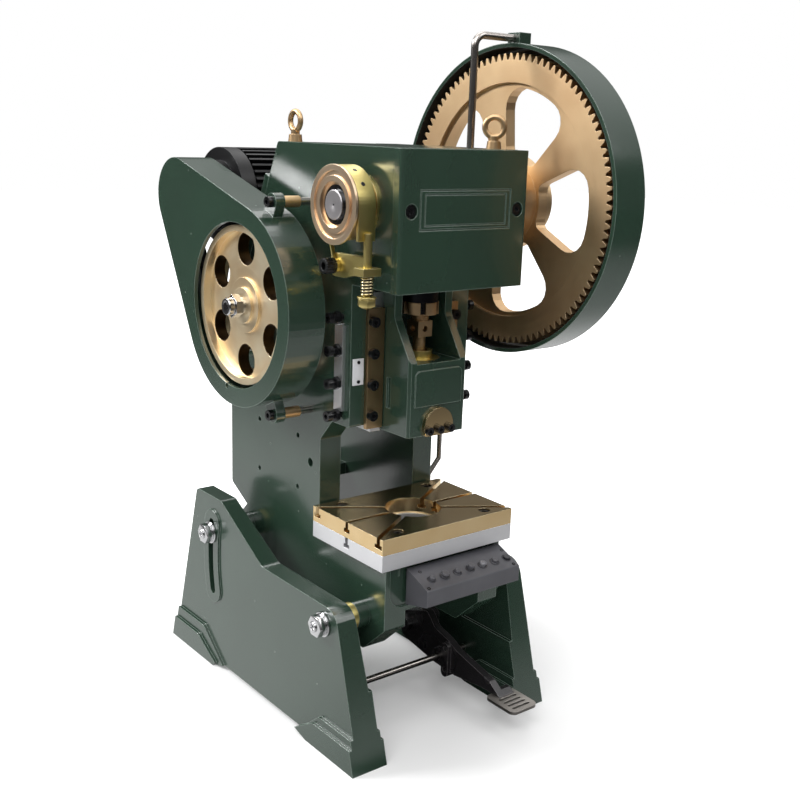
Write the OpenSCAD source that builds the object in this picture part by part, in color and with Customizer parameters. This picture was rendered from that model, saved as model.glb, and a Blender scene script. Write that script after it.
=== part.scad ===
// Open-back inclinable punch press, bench-top model. Millimetres.
// X runs along the crankshaft, Y to the back and Z up from the floor.
// Sizes are set out with Y = 0 under the crankshaft, and every part is then
// moved by centre_shift, so that the origin is the middle of the footprint.

/* [Frame] */
// Width over the two side plates
frame_w = 53.2; // [48:0.2:66]
// Thickness of each side plate
plate_t = 9.2; // [7.5:0.1:11]
// Height of the crankshaft axis over the floor
crank_z = 192; // [160:1:235]
// Distance from the crankshaft axis back to the rear edge of the plates
frame_back = 87.4; // [78:0.2:105]
// Distance from the crankshaft axis forward to the front edge of the head
head_front = 17.2; // [15:0.1:22]
// Thickness of the front cover
cover_t = 4.9; // [3:0.1:7]
// Height of the front cover
cover_h = 46.2; // [40:0.2:55]
// Distance from the crankshaft axis to the front edge of the guide ways
way_front = 4.6; // [3:0.1:7]
// Distance from the crankshaft axis back to the throat
throat_back = 22.4; // [18:0.2:26]
// Thickness of the top, tie and front walls of the frame
wall_t = 5; // [3:0.5:6]

/* [Legs] */
// Gap between a side plate and a leg
leg_gap = 8.2; // [6:0.1:12]
// Thickness of a leg over its flat pads
leg_t = 8.7; // [7:0.1:12]
// Depth of the foot of a leg, front to back
leg_depth = 134.7; // [125:0.5:160]
// Distance from the crankshaft axis forward to the toe of a leg
leg_toe = 28.7; // [24:0.5:36]
// Height of the low front part of a leg
leg_crest = 55; // [52:0.5:64]
// Height of the high rear part of a leg
leg_top = 72; // [68:0.5:80]
// Height of the tilting pivot over the floor
pivot_z = 48; // [44:0.5:52]
// Distance of the tilting pivot in front of the crankshaft axis
pivot_dy = 6; // [4:0.5:9]
// Angle through which the frame leans back
tilt_deg = 17; // [10:0.5:17.5]
// Width of the curved slot in a leg
slot_w = 4; // [3.6:0.1:5]

/* [Table] */
// Width of the bolster plate
table_w = 60; // [54:0.5:72]
// Depth of the bolster plate, front to back
table_d = 42.5; // [40:0.5:46]
// Height of the table top over the floor
table_z = 81; // [72:0.5:92]
// Thickness of the bolster plate
bolster_t = 5.8; // [5:0.1:8]
// Thickness of the plate under the bolster
base_t = 6; // [5:0.1:8]
// Radius of the blanking hole
die_hole_r = 10.4; // [8:0.1:11]
// Spacing of the table screws, left to right
table_bolt_x = 40.3; // [38:0.1:42]
// Spacing of the table screws, front to back
table_bolt_y = 33.8; // [31:0.1:35]
// Width of the mouth of a T-slot
tee_mouth = 1.6; // [1.2:0.1:2.2]
// Width of the foot of a T-slot
tee_foot = 3.4; // [2.8:0.1:4]
// Depth of a T-slot
tee_depth = 3.8; // [3.2:0.1:4.4]

/* [Gears] */
// Gear module
gear_m = 1; // [0.85:0.01:1.05]
// Teeth on the bull gear
gear_teeth = 102; // [90:2:106]
// Teeth on the pinion
pinion_teeth = 18; // [18:1:20]
// Width of the bull gear
gear_w = 8.7; // [7:0.1:10]
// Angle of the back shaft below the crankshaft axis
shaft_angle = 40.5; // [36:0.5:44]
// Number of windows in the bull gear
gear_windows = 5; // [4:1:6]
// Radius of the inner end of a gear window
window_r0 = 17; // [16:0.5:20]
// Radius of the outer end of a gear window
window_r1 = 40.5; // [30:0.5:42]
// Half of the angle of a gear window
window_half = 24.5; // [15:0.5:25]

/* [Crank and ram] */
// Throw of the crank, half of the ram's stroke
crank_throw = 4; // [2.5:0.5:4.5]
// Radius of the crankshaft in its bearings
journal_r = 6; // [5:0.1:6.5]
// Radius of the ends of the crankshaft
crank_end_r = 5; // [4:0.1:5.5]
// Radius of the crank pin
crank_pin_r = 4; // [3:0.1:4.5]
// Width of the ram
ram_w = 26; // [22:0.2:27]
// Depth of the ram in front of the crankshaft axis
ram_front = 11.4; // [9:0.1:13]
// Height of the ram
ram_h = 56; // [52:0.5:60]
// Distance from the crankshaft axis down to the foot of the ram
ram_drop = 80.1; // [76:0.1:86]
// Radius of the ball on the adjusting screw
ball_r = 4.5; // [3.5:0.1:5]
// Radius of the shank hole in the ram
shank_r = 4; // [3:0.1:4.5]

/* [Back shaft, flywheel and motor] */
// Radius of the back shaft
shaft_r = 3; // [2.5:0.1:3.5]
// Radius of the flywheel
fly_r = 28.8; // [24:0.1:29]
// Width of the flywheel
fly_w = 10; // [8:0.5:11]
// Number of holes in the flywheel
fly_holes = 6; // [5:1:7]
// Distance of the motor behind the crankshaft axis
motor_dy = 90; // [90:0.5:96]
// Distance of the motor below the crankshaft axis
motor_drop = 3; // [0:0.5:8]
// Radius over the cooling fins of the motor
motor_r = 18.6; // [16:0.1:19]
// Length of the motor's finned body
motor_l = 38; // [30:1:44]
// Radius of the motor pulley
pulley_r = 6.5; // [5.5:0.1:8]
// Width of the drive belt
belt_w = 3; // [2:0.1:4]

/* [Brake] */
// Radius of the flange of the brake drum
drum_r = 13; // [12:0.1:15]
// Width of the brake drum
drum_w = 7.7; // [6.5:0.1:8.5]
// Thickness of the brake band
band_t = 1.2; // [0.8:0.1:1.6]
// Radius of the brake rod
brake_rod_r = 1.4; // [1:0.1:1.6]

/* [Controls] */
// Width of the control box
box_w = 43.4; // [38:0.2:44]
// Radius of a push button
button_r = 1.3; // [1:0.1:1.6]
// Travel of a push button
button_travel = 0.8; // [0.4:0.1:1]
// Radius of the pedal shaft
pedal_shaft_r = 1.3; // [1:0.1:1.6]
// Height of the pedal shaft over the floor
pedal_z = 13.2; // [12:0.2:16]
// Width of the treadle
treadle_w = 13; // [10:0.5:13]
// Radius of the clutch pull rod
pull_r = 1; // [0.8:0.1:1.2]

/* [Clearances] */
// Radial clearance of a turning fit
run_fit = 0.05; // [0.02:0.01:0.1]
// Radial clearance of a fixed fit
hold_fit = 0.02; // [0.01:0.01:0.05]
// Gap between parts that pass each other
pass_gap = 0.3; // [0.2:0.05:0.5]
// Gap between a gear's tips and its guard
guard_gap = 1.8; // [1.2:0.1:3]

/* [Hidden] */
$fn = 72;
eps = 0.01;

// Frame and heights
hw = frame_w / 2;
inner = hw - plate_t;
head_top = crank_z + 18.9;
cover_top = head_top - 0.1;
cover_bottom = cover_top - cover_h;
way_bottom = crank_z - 78;
throat_chamfer = [7.3, 8.2];
slant_top_y = 52.7;
slant_foot_z = crank_z - 57.3;
base_z = table_z - bolster_t - base_t;
table_half_d = table_d / 2;
plate_foot_z = base_z - 23.6;
belly_z = base_z - 34.7;
belly_back = 8;
tail_z = base_z + 2.4;
front_y = -19;
pocket_d = 0.9;
lean = atan2(frame_back - slant_top_y, head_top - slant_foot_z);

// Tilting pivot and clamping bolts
pivot = [-pivot_dy, pivot_z];
clamp_arm = [79.3, 9];
clamp_at = pivot + clamp_arm;
clamp_radius = norm(clamp_arm);
clamp_angle = atan2(clamp_arm[1], clamp_arm[0]);
slot_top_angle = clamp_angle + 2.9;
slot_foot_angle = clamp_angle - tilt_deg - 0.4;
leg_bolt_r = 2;
leg_in = hw + leg_gap;
leg_out = leg_in + leg_t;
leg_heel = leg_depth - leg_toe;
front_slope = 0.279;
rear_slope = 0.272;
leg_draft = 3;
pad_h = 0.8;
pad_w = 11.4;
leg_nut_w = 7.2;
leg_bolt_end = 53;

// Shafts
shaft_gap = gear_m * (gear_teeth + pinion_teeth) / 2 + 0.05;
shaft_at = [shaft_gap * cos(shaft_angle), crank_z - shaft_gap * sin(shaft_angle)];
crank_at = [0, crank_z];
motor_at = [motor_dy, crank_z - motor_drop];
motor_rise = (motor_dy - frame_back) * cos(lean) + (motor_at[1] - slant_foot_z) * sin(lean);
bush_flange_t = 1;
crank_bush_r = journal_r + 2.5;
shaft_bush_r = shaft_r + 2;

// Bull gear and its guard
gear_x = hw + 10.7;
gear_tip_r = gear_m * (gear_teeth + 2) / 2;
pinion_tip_r = gear_m * (pinion_teeth + 2) / 2;
ring_r = gear_tip_r + guard_gap;
ring_t = 1.5;
ring_x = [gear_x - 1.5, gear_x + gear_w + 4];
gear_hub_r = 13;
gear_boss_r = 15.5;
backlash = 0.08;

// Belt guard, flywheel and belt
guard_x = [-hw - 22.6, -hw - 7.9];
guard_wall = 1.5;
fly_x = -hw - 20.4;
fly_guard_r = fly_r + 8;
motor_guard_r = pulley_r + 8;
ear_reach = 4.2;
ear_r = 3.1;
ear_angles = [112.4, 245.8, -38];
ear_x = guard_x[1] - 8.7;
ear_t = 3.8;
sleeve_l = 7.2;
belt_x = fly_x + fly_w / 2 + 1;
belt_t = 1.4;
belt_sink = 1;

// Ram, screw and connecting rod
ram_foot = crank_z - ram_drop;
ram_top = ram_foot + ram_h;
ram_back = 17;
tongue = 1.8;
window_z = ram_foot + 26;
cheek_top = [-2, ram_foot + 41];
window_half_w = ram_w / 2 - 3.2;
ball_z = ram_foot + 22;
seat_top = ram_foot + 24.6;
seat_cap_h = window_z - seat_top;
pin_z = crank_z + crank_throw;
rod_half = 7;
web_t = 5;
web_x = rod_half + 1;
nut_z = crank_z - 38.3;
nut_h = 4.3;
screw_r = 3;

// Gibs
liner_bottom = crank_z - 80.7;
liner_top = crank_z - 30.6;
strip_z = [crank_z - 79, crank_z - 36];
strip_x = [ram_w / 2 + pass_gap, hw - 6.3];
strip_t = 1.6;
strip_screw_z = [for (i = [0 : 3]) crank_z - 40.6 - 11.15 * i];
side_strip_z = [crank_z - 72.5, crank_z - 42];
side_strip_y = [7.6, 12.4];
side_strip_t = 1.4;
side_screw_z = [for (i = [0 : 3]) crank_z - 75.2 + 11.65 * i + 1];

// Screws: small socket screws and the longer adjusting screws
screw_shank = 1.1;
screw_head = 1.9;
screw_head_h = 1.9;

// Brake
drum_x = -hw - 11.8;
drum_flange_t = 0.9;
band_r = drum_r - band_t - 0.1;
band_x = [drum_x + drum_flange_t + pass_gap, drum_x + drum_w + 0.2];
band_foot_z = crank_z - 10.8;
brake_arm_x = mean(band_x);
rod_y = -(band_r + band_t + 0.8);
rod_top_z = band_foot_z + 2.6;
shelf_z = crank_z - 21.8;
shelf_t = 2.6;
wing_x = [-hw - 5.6, -hw - 3.6];
spring_l = 6.6;
nut_l = 4;
anchor = [5.7, crank_z - 20.6];
anchor_r = 1.5;
link_x = [wing_x[0] - 1.4, wing_x[0] - 0.1];
link_r = band_r + band_t / 2;
link_angle = atan2(anchor[1] - crank_z, anchor[0]) + acos(link_r / norm(anchor - [0, crank_z]));

// Controls
tee_foot_h = 1.4;
box_back = front_y - 0.05;
box_x = [-17.4, -17.4 + box_w];
box_top_z = base_z - 1.8;
box_slope = 20.5;
box_roof = [front_y + 0.6, box_top_z];
button_along = 8.6;
button_count = 7;
button_stem = 1.5;
button_rise = 1.1;
button_edge = 0.35;
button_pitch = 5.95;
button_x0 = box_x[0] + 5.3;
pedal_y = 4.5;
pedal_x = [21, 24];
clevis_y = 26.2;
clevis_z = pedal_z + 6;
clevis_x = [21, 27.4];
pull_x = [28.9, hw + 7.4];
pull_top = crank_z - 34;

centre_shift = -(motor_dy + motor_r - ring_r - ring_t) / 2;

// Small fittings
strip_screw_x = mean([inner, strip_x[1]]) - 0.4;
standoff_spigot_r = 1.3;
eye_shank_r = 1.3;
eye_places = [[-22, 48.2], [21, -11]];
guard_rod_x = 20;
guard_rod_r = 1.3;
ring_post_places = [shaft_at + polar(pinion_tip_r + 6.2, 0),
                    shaft_at + polar(pinion_tip_r + 6.2, -90)];
guard_rod_z = round(10 * (crank_z + ring_r + 3.2)) / 10;
stay_lug_x = [ring_x[0] + 2.4, ring_x[0] + 7.9];
guard_lip = guard_gap + 3.2 * gear_m;
web_recess = [1.4, 2.8];
bracket_t = 3;
motor_x = [-24, -24 + motor_l];
motor_shaft_r = 2;
screw_neck_r = 2.2;
treadle_x = [17.5, 17.5 + treadle_w];
treadle_y = [-41, -25.5];
treadle_z = pedal_z - 4.6;
treadle_t = 1.2;
clamp_screw_r = 0.8;
clamp_screw_x = shank_r + clamp_screw_r + 0.05;
shank_depth = 12;

// ---------- outlines ----------

function unit(v) = v / norm(v);
function polar(r, a) = [r * cos(a), r * sin(a)];
function arc(c, r, a0, a1, n = 8) = [for (i = [0 : n]) c + polar(r, a0 + (a1 - a0) * i / n)];

// The points of an arc of radius r that rounds corner b between a and c
function round_corner(a, b, c, r, n) =
    let (
        u = unit(a - b),
        v = unit(c - b),
        half = acos(u * v) / 2,
        centre = b + unit(u + v) * r / sin(half),
        start = b + u * r / tan(half) - centre,
        finish = b + v * r / tan(half) - centre,
        a0 = atan2(start[1], start[0]),
        turn = atan2(start[0] * finish[1] - start[1] * finish[0], start * finish)
    )
    arc(centre, r, a0, a0 + turn, n);

// An outline of [y, z, radius] corners, each one rounded by its radius
function rounded(p, n = 6) = [
    for (i = [0 : len(p) - 1])
        let (
            a = p[(i + len(p) - 1) % len(p)],
            b = p[i],
            c = p[(i + 1) % len(p)]
        )
        each b[2] > 0
            ? round_corner([a[0], a[1]], [b[0], b[1]], [c[0], c[1]], b[2], n)
            : [[b[0], b[1]]]
];

// Circles c0 and c1 with the two straight flanks that touch both
module pulley_loop(c0, r0, c1, r1) {
    base = atan2(c1[1] - c0[1], c1[0] - c0[0]);
    off = acos((r0 - r1) / norm(c1 - c0));
    polygon(concat(
        arc(c0, r0, base + off, base + 360 - off, 60), arc(c1, r1, base - off, base + off, 24)
    ));
}

module ring(r_out, r_in) {
    difference() {
        circle(r_out);
        circle(r_in);
    }
}

module round_square(w, d, r) {
    square([w, d - 2 * r], center = true);
    square([w - 2 * r, d], center = true);
    for (x = [-1, 1], y = [-1, 1])
        translate([x * (w / 2 - r), y * (d / 2 - r)]) circle(r);
}

// Involute gear outline with a tooth centred on angle 0
function involute_angle(base_r, r) =
    let (t = sqrt(max(0, r * r / (base_r * base_r) - 1))) t * 180 / PI - atan(t);

function gear_outline(m, teeth) =
    let (
        pitch_r = m * teeth / 2,
        base_r = pitch_r * cos(20),
        tip_r = pitch_r + m,
        root_r = pitch_r - 1.25 * m,
        half_pitch = 90 / teeth - backlash / 4 / pitch_r * 180 / PI,
        zero = half_pitch + involute_angle(base_r, pitch_r),
        low_r = max(root_r, base_r),
        radii = [for (i = [0 : 3]) low_r + (tip_r - low_r) * i / 3],
        flank = [for (r = radii) [r, zero - involute_angle(base_r, r)]],
        foot = root_r < low_r ? [[root_r, zero]] : []
    )
    [
        for (k = [0 : teeth - 1])
            let (middle = 360 * k / teeth)
            each concat(
                [for (f = foot) polar(f[0], middle - f[1])],
                [for (f = flank) polar(f[0], middle - f[1])],
                [for (i = [3 : -1 : 0]) polar(flank[i][0], middle + flank[i][1])],
                [for (f = foot) polar(f[0], middle + f[1])]
            )
    ];

// A window between two radii with rounded corners, centred on angle 0
function window_half_outline(r0, r1, half, f0, f1) =
    let (
        b1 = half - asin(f1 / (r1 - f1)),
        b0 = half - asin(f0 / (r0 + f0))
    )
    concat(
        arc([0, 0], r1, 0, b1, 6),
        arc(polar(r1 - f1, b1), f1, b1, half + 90, 5),
        arc(polar(r0 + f0, b0), f0, half + 90, b0 + 180, 4),
        arc([0, 0], r0, b0, 0, 4)
    );

module gear_window() {
    side = window_half_outline(window_r0, window_r1, window_half, 3, 7);
    other = [for (i = [len(side) - 2 : -1 : 1]) [side[i][0], -side[i][1]]];
    polygon(concat(side, other));
}

// ---------- placing ----------

module place() {
    translate([0, centre_shift, 0]) children();
}

// A (y, z) outline drawn out along X from x0 to x1
module side(x0, x1) {
    translate([x0, 0, 0]) rotate([90, 0, 90]) linear_extrude(x1 - x0) children();
}

// An (x, z) outline drawn out along Y from y0 to y1
module front(y0, y1) {
    translate([0, y1, 0]) rotate([90, 0, 0]) linear_extrude(y1 - y0) children();
}

module rod_x(x0, x1, at, r) {
    side(x0, x1) translate(at) circle(r);
}

module both() {
    children();
    mirror([1, 0, 0]) children();
}

// Turns +Z to the left, to the right or to the front
module to_left(x, at) {
    translate([x, at[0], at[1]]) rotate([0, -90, 0]) children();
}

module to_right(x, at) {
    translate([x, at[0], at[1]]) rotate([0, 90, 0]) children();
}

module to_front(x, y, z) {
    translate([x, y, z]) rotate([90, 0, 0]) children();
}

// The frame of the motor's seat: +Y stands square off the slanted edges
module on_slant() {
    translate([0, motor_at[0], motor_at[1]]) rotate([lean, 0, 0]) children();
}

// ---------- fasteners ----------

// Socket screw: head above z = 0, shank below
module socket_screw(shank, head, head_h, length) {
    difference() {
        union() {
            cylinder(r = head, h = head_h);
            translate([0, 0, -length]) cylinder(r = shank, h = length + eps);
        }
        translate([0, 0, head_h / 2]) cylinder(r = head * 0.52, h = head_h, $fn = 6);
    }
}

module small_screw(length) {
    socket_screw(screw_shank, screw_head, screw_head_h, length);
}

module hex_nut(across, h, hole) {
    difference() {
        cylinder(r = across / sqrt(3), h = h, $fn = 6);
        translate([0, 0, -eps]) cylinder(r = hole, h = h + 2 * eps);
    }
}

// ---------- legs ----------

function leg_outline() = rounded([
    [-leg_toe, 0, 0], [1, 0, 0], [3, 1.8, 0], [66, 1.8, 0], [70, 0, 0], [leg_heel, 0, 0],
    [leg_heel - rear_slope * leg_top, leg_top, 2.5], [66.4, leg_top, 4],
    [35.2, leg_crest, 6], [-leg_toe + front_slope * leg_crest, leg_crest, 7]
]);

module foot_flange(front_h, rear_h) {
    toe = -leg_toe + front_slope * front_h;
    polygon(rounded([
        [-leg_toe, 0, 0], [1, 0, 0], [12.5 - front_h * 0.45, 1.8, 0],
        [4 - front_h * 0.8, front_h, 3], [toe, front_h, 0]
    ]));
    polygon(rounded([
        [70, 0, 0], [leg_heel, 0, 0], [leg_heel - rear_slope * rear_h, rear_h, 0],
        [89 - rear_h * 0.65, rear_h, 3], [78 - rear_h, 1.8, 0]
    ]));
}

// Curved slot outline round the tilting pivot
module arc_band(half_w) {
    a0 = slot_foot_angle;
    a1 = slot_top_angle;
    translate(pivot) polygon(concat(
        arc([0, 0], clamp_radius + half_w, a0, a1, 16),
        arc(polar(clamp_radius, a1), half_w, a1, a1 + 180, 10),
        arc([0, 0], clamp_radius - half_w, a1, a0, 16),
        arc(polar(clamp_radius, a0), half_w, a0 + 180, a0 + 360, 10)
    ));
}

module leg() {
    ledge_in = leg_in - 1.8;
    difference() {
        union() {
            side(ledge_in, leg_out) polygon(leg_outline());
            side(ledge_in - 1, leg_out + 1.2) foot_flange(12.2, 13.8);
            side(ledge_in - 2, leg_out + 2.3) foot_flange(9, 9.1);
        }
        translate([leg_in - 0.4, -leg_toe - 20, 26]) rotate([0, leg_draft, 0])
            translate([-20, 0, 0]) cube([20, leg_depth + 40, leg_top]);
        side(ledge_in - 3, leg_out + 3) arc_band(slot_w / 2);
        rod_x(ledge_in - 3, leg_out + 3, pivot, leg_bolt_r + run_fit);
        rod_x(ledge_in - 3, leg_in + 3, [pedal_y, pedal_z], pedal_shaft_r + hold_fit);
    }
    difference() {
        union() {
            side(leg_in, leg_in + 4) arc_band(pad_w / 2);
            side(leg_out - eps, leg_out + pad_h) arc_band(pad_w / 2);
            rod_x(leg_in, leg_in + 3, pivot, 6);
        }
        side(ledge_in - 3, leg_out + 3) arc_band(slot_w / 2);
        rod_x(ledge_in - 3, leg_out + 3, pivot, leg_bolt_r + run_fit);
    }
}

module left_leg() {
    color("#2c4638") place() mirror([1, 0, 0]) leg();
}

module right_leg() {
    color("#2c4638") place() leg();
}

// Studs that carry the frame between the legs: pivots in front, clamps behind
module leg_bolts() {
    color("silver") place() both()
        for (at = [pivot, clamp_at])
            difference() {
                rod_x(inner, leg_bolt_end, at, leg_bolt_r);
                to_right(leg_bolt_end - 1.5, at) cylinder(r = 1.1, h = 2, $fn = 6);
            }
}

module leg_nut(at, seat_x) {
    washer_h = 1.1;
    to_right(seat_x, at) {
        difference() {
            cylinder(r = 4.6, h = washer_h);
            translate([0, 0, -eps]) cylinder(r = leg_bolt_r + hold_fit, h = 2);
        }
        translate([0, 0, washer_h]) hex_nut(leg_nut_w, 4, leg_bolt_r + hold_fit);
    }
}

module leg_nuts() {
    color("silver") place() both() {
        leg_nut(pivot, leg_out + 0.1);
        leg_nut(clamp_at, leg_out + pad_h + 0.1);
    }
}

module leg_spacers() {
    color("goldenrod") place() both()
        for (at = [pivot, clamp_at])
            side(hw, leg_in - 0.35) translate(at) ring(5, leg_bolt_r + hold_fit);
}

// ---------- frame ----------

function plate_outline() = rounded([
    [front_y, base_z, 0], [front_y, plate_foot_z, 1], [front_y + 12, belly_z, 2],
    [belly_back, belly_z, 4], [clamp_at[0] - 8, clamp_at[1] - 7, 3],
    [clamp_at[0] + 6, clamp_at[1] - 7, 3], [clamp_at[0] + 8, clamp_at[1] + 2, 3],
    [75.2, base_z - 4.1, 0], [frame_back, tail_z, 2], [frame_back, slant_foot_z, 3],
    [slant_top_y, head_top, 1.5], [-head_front, head_top, 0], [-head_front, cover_bottom, 0],
    [way_front, cover_bottom, 0], [way_front, way_bottom, 0.8],
    [throat_back - throat_chamfer[0], way_bottom, 1.5],
    [throat_back, way_bottom - throat_chamfer[1], 1.5], [throat_back, base_z, 0]
], 5);

module frame_walls() {
    // Front wall and table seat
    side(-inner, inner) polygon([
        [front_y, plate_foot_z + 5.9], [front_y + wall_t, plate_foot_z + 5.9],
        [front_y + wall_t, base_z - wall_t], [throat_back, base_z - wall_t],
        [throat_back, base_z], [front_y, base_z]
    ]);
    // Top of the head
    side(-inner, inner) polygon([
        [-head_front, head_top - wall_t], [slant_top_y - 6, head_top - wall_t],
        [slant_top_y - 6, head_top], [-head_front, head_top]
    ]);
    // Wall behind the guide ways and the crank
    side(-inner, inner) polygon([
        [throat_back, way_bottom + 6], [throat_back + wall_t, way_bottom + 6],
        [throat_back + wall_t, head_top - wall_t], [throat_back, head_top - wall_t]
    ]);
    // Tie at the tail
    side(-inner, inner) polygon([
        [frame_back - 20, tail_z + 1], [frame_back, tail_z + 1],
        [frame_back, tail_z + 1 + wall_t], [frame_back - 20, tail_z + 1 + wall_t]
    ]);
}

module frame() {
    pocket_x = hw - 2.1;
    color("#2c4638") place() difference() {
        union() {
            both() side(inner, hw) polygon(plate_outline());
            frame_walls();
            // Lug that guides the pull rod
            translate([hw - eps, clevis_y - 3, crank_z - 56])
                cube([pull_x[1] - hw + 2.6, 6, 5]);
        }
        // Shallow pocket behind the control box
        front(front_y - 1, front_y + pocket_d) polygon(rounded([
            [-pocket_x, plate_foot_z + 7.5, 6], [pocket_x, plate_foot_z + 7.5, 6],
            [pocket_x, base_z + 1, 0], [-pocket_x, base_z + 1, 0]
        ]));
        translate([0, 0, base_z - wall_t - 1]) cylinder(r = die_hole_r + 1.6, h = wall_t + 2);
        rod_x(-hw - 1, hw + 1, crank_at, crank_bush_r + hold_fit);
        rod_x(-hw - 1, hw + 1, shaft_at, shaft_bush_r + hold_fit);
        rod_x(-hw - 1, hw + 1, pivot, leg_bolt_r + hold_fit);
        rod_x(-hw - 1, hw + 1, clamp_at, leg_bolt_r + hold_fit);
        both() frame_side_holes();
        translate([pull_x[1], clevis_y, crank_z - 58]) cylinder(r = pull_r + run_fit, h = 9);
        for (p = eye_places) translate([p[0], p[1], head_top - 5])
            cylinder(r = eye_shank_r + hold_fit, h = 6);
        translate([guard_rod_x, 0, head_top - 4]) cylinder(r = guard_rod_r + hold_fit, h = 5);
        at_table_screws() translate([0, 0, -base_t - bolster_t - 4.5])
            cylinder(r = screw_shank + hold_fit, h = 5);
        at_cover_screws() translate([0, 0, -9]) cylinder(r = screw_shank + hold_fit, h = 9);
        at_ears() translate([0, 0, -4]) cylinder(r = standoff_spigot_r + hold_fit, h = 5);
        at_ring_posts() translate([0, 0, -4]) cylinder(r = standoff_spigot_r + hold_fit, h = 5);
        at_bracket_screws() translate([0, 0, -6]) cylinder(r = screw_shank + hold_fit, h = 9);
        to_left(-hw + 5, anchor) cylinder(r = anchor_r + hold_fit, h = 6);
    }
}

// Tapped holes in the outer faces, and those of the gibs
module frame_side_holes() {
    for (at = [[37.4, way_bottom - 10.4], [65.2, way_bottom - 10.4],
               [37.4, way_bottom - 30.8], [65.2, way_bottom - 30.8]])
        rod_x(hw - 5, hw + 1, at, 1);
    rod_x(hw - 6, hw + 1, [28.8, way_bottom - 18.9], 1.7);
    for (z = side_screw_z)
        rod_x(inner - 1, hw + 1, [mean(side_strip_y), z], screw_shank + hold_fit);
    for (z = strip_screw_z) to_front(strip_screw_x, way_front, z)
        translate([0, 0, -4]) cylinder(r = screw_shank + hold_fit, h = 5);
}

function mean(pair) = (pair[0] + pair[1]) / 2;

module at_table_screws() {
    for (x = [-1, 1], y = [-1, 1])
        translate([x * table_bolt_x / 2, y * table_bolt_y / 2, table_z]) children();
}

module at_cover_screws() {
    for (x = [-1, 1]) to_front(x * (hw - 3.4), -head_front, crank_z - 0.9) children();
}

module at_ears() {
    for (a = ear_angles) to_left(-hw, shaft_at + polar(fly_guard_r + ear_reach, a)) children();
}

module at_ring_posts() {
    for (at = ring_post_places) to_right(hw, at) children();
}

module at_bracket_screws() {
    for (x = [-1, 1], z = [-1, 1])
        on_slant() translate([x * (hw - 4), -motor_rise, z * 16]) rotate([-90, 0, 0]) children();
}

module front_cover() {
    depth = cover_t;
    color("#2c4638") place() difference() {
        translate([0, -head_front - depth / 2, cover_bottom]) linear_extrude(cover_h)
            round_square(frame_w + 2.2, depth, 1.2);
        at_cover_screws() {
            translate([0, 0, -eps]) cylinder(r = screw_shank + hold_fit, h = depth);
            translate([0, 0, depth - screw_head_h - 0.4]) cylinder(r = 2.45, h = 3);
        }
        groove([39.6, 13.2], [38.6, 12.2]);
        groove([35.6, 10.3], [34.8, 9.5]);
    }
}

// A plain engraved line round an empty panel
module groove(outer, inside) {
    front(-head_front - cover_t - 1, -head_front - cover_t + 0.35) translate([0, crank_z - 0.6])
        difference() {
            square(outer, center = true);
            square(inside, center = true);
        }
}

// ---------- table ----------

module tee_slot(length, top) {
    translate([0, -tee_mouth / 2, top - tee_depth + tee_foot_h - 0.1])
        cube([length, tee_mouth, tee_depth]);
    translate([0, -tee_foot / 2, top - tee_depth]) cube([length, tee_foot, tee_foot_h]);
}

module base_plate() {
    color("#e4e4e4") place() difference() {
        translate([-table_w / 2, -table_half_d, base_z]) cube([table_w, table_d, base_t]);
        translate([0, 0, base_z - 1]) cylinder(r = die_hole_r - 1, h = base_t + 2);
        translate([-table_w / 2 - 1, 0, 0]) tee_slot(table_w + 2, base_z + base_t);
        at_table_screws() translate([0, 0, -base_t - bolster_t - 1])
            cylinder(r = screw_shank + hold_fit, h = base_t + 2);
    }
}

module bolster_plate() {
    slot_angle = atan2(table_half_d - 2.6, table_w / 2);
    color("#d8b56a") place() difference() {
        translate([-table_w / 2, -table_half_d, base_z + base_t])
            cube([table_w, table_d, bolster_t]);
        translate([0, 0, base_z + base_t - 1]) cylinder(r = die_hole_r, h = bolster_t + 2);
        for (side_turn = [0, 180], a = [-slot_angle, 0, slot_angle])
            rotate([0, 0, side_turn + a]) translate([die_hole_r - 1, 0, 0])
                tee_slot(table_w, table_z);
        at_table_screws() {
            translate([0, 0, -bolster_t - 1])
                cylinder(r = screw_shank + hold_fit, h = bolster_t + 2);
            translate([0, 0, -screw_head_h - 0.5]) cylinder(r = screw_head + 0.3, h = 3);
        }
    }
}

// All the small black socket screws in the frame
module socket_screws() {
    color("#222222") place() {
        at_table_screws() translate([0, 0, -screw_head_h - 0.5])
            small_screw(bolster_t + base_t + 1.6);
        at_cover_screws() translate([0, 0, cover_t - screw_head_h - 0.4]) small_screw(10);
        both() for (z = strip_screw_z) to_front(strip_screw_x, way_front - strip_t, z)
            small_screw(strip_t + 3.6);
        at_ears() translate([0, 0, -hw - ear_x]) small_screw(ear_t + 2.2);
        at_bracket_screws() translate([0, 0, bracket_t]) small_screw(bracket_t + 5);
    }
}

// ---------- gibs ----------

module gib_strips() {
    color("goldenrod") place() both() difference() {
        front(way_front - strip_t, way_front) polygon([
            [strip_x[0], strip_z[0]], [strip_x[1], strip_z[0]],
            [strip_x[1], strip_z[1]], [strip_x[0], strip_z[1]]
        ]);
        for (z = strip_screw_z) to_front(strip_screw_x, way_front, z)
            translate([0, 0, -1]) cylinder(r = screw_shank + hold_fit, h = strip_t + 2);
    }
}

// The guide outline, seen from above, that the ram's tongues run in
module way_hollow(gap) {
    half = ram_w / 2 + gap;
    translate([-half, -ram_front - 5]) square([2 * half, 40]);
    translate([-half - tongue, way_front + 2 - gap]) square([2 * (half + tongue), 9 + 2 * gap]);
}

module gib_liners() {
    color("#c8c8cc") place() both() difference() {
        translate([0, 0, liner_bottom]) linear_extrude(liner_top - liner_bottom) difference() {
            translate([ram_w / 2, way_front]) square([inner - ram_w / 2, throat_back - way_front]);
            way_hollow(run_fit);
        }
        for (z = strip_screw_z) to_front(strip_screw_x, way_front, z)
            translate([0, 0, -4]) cylinder(r = screw_shank + hold_fit, h = 5);
    }
}

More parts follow.
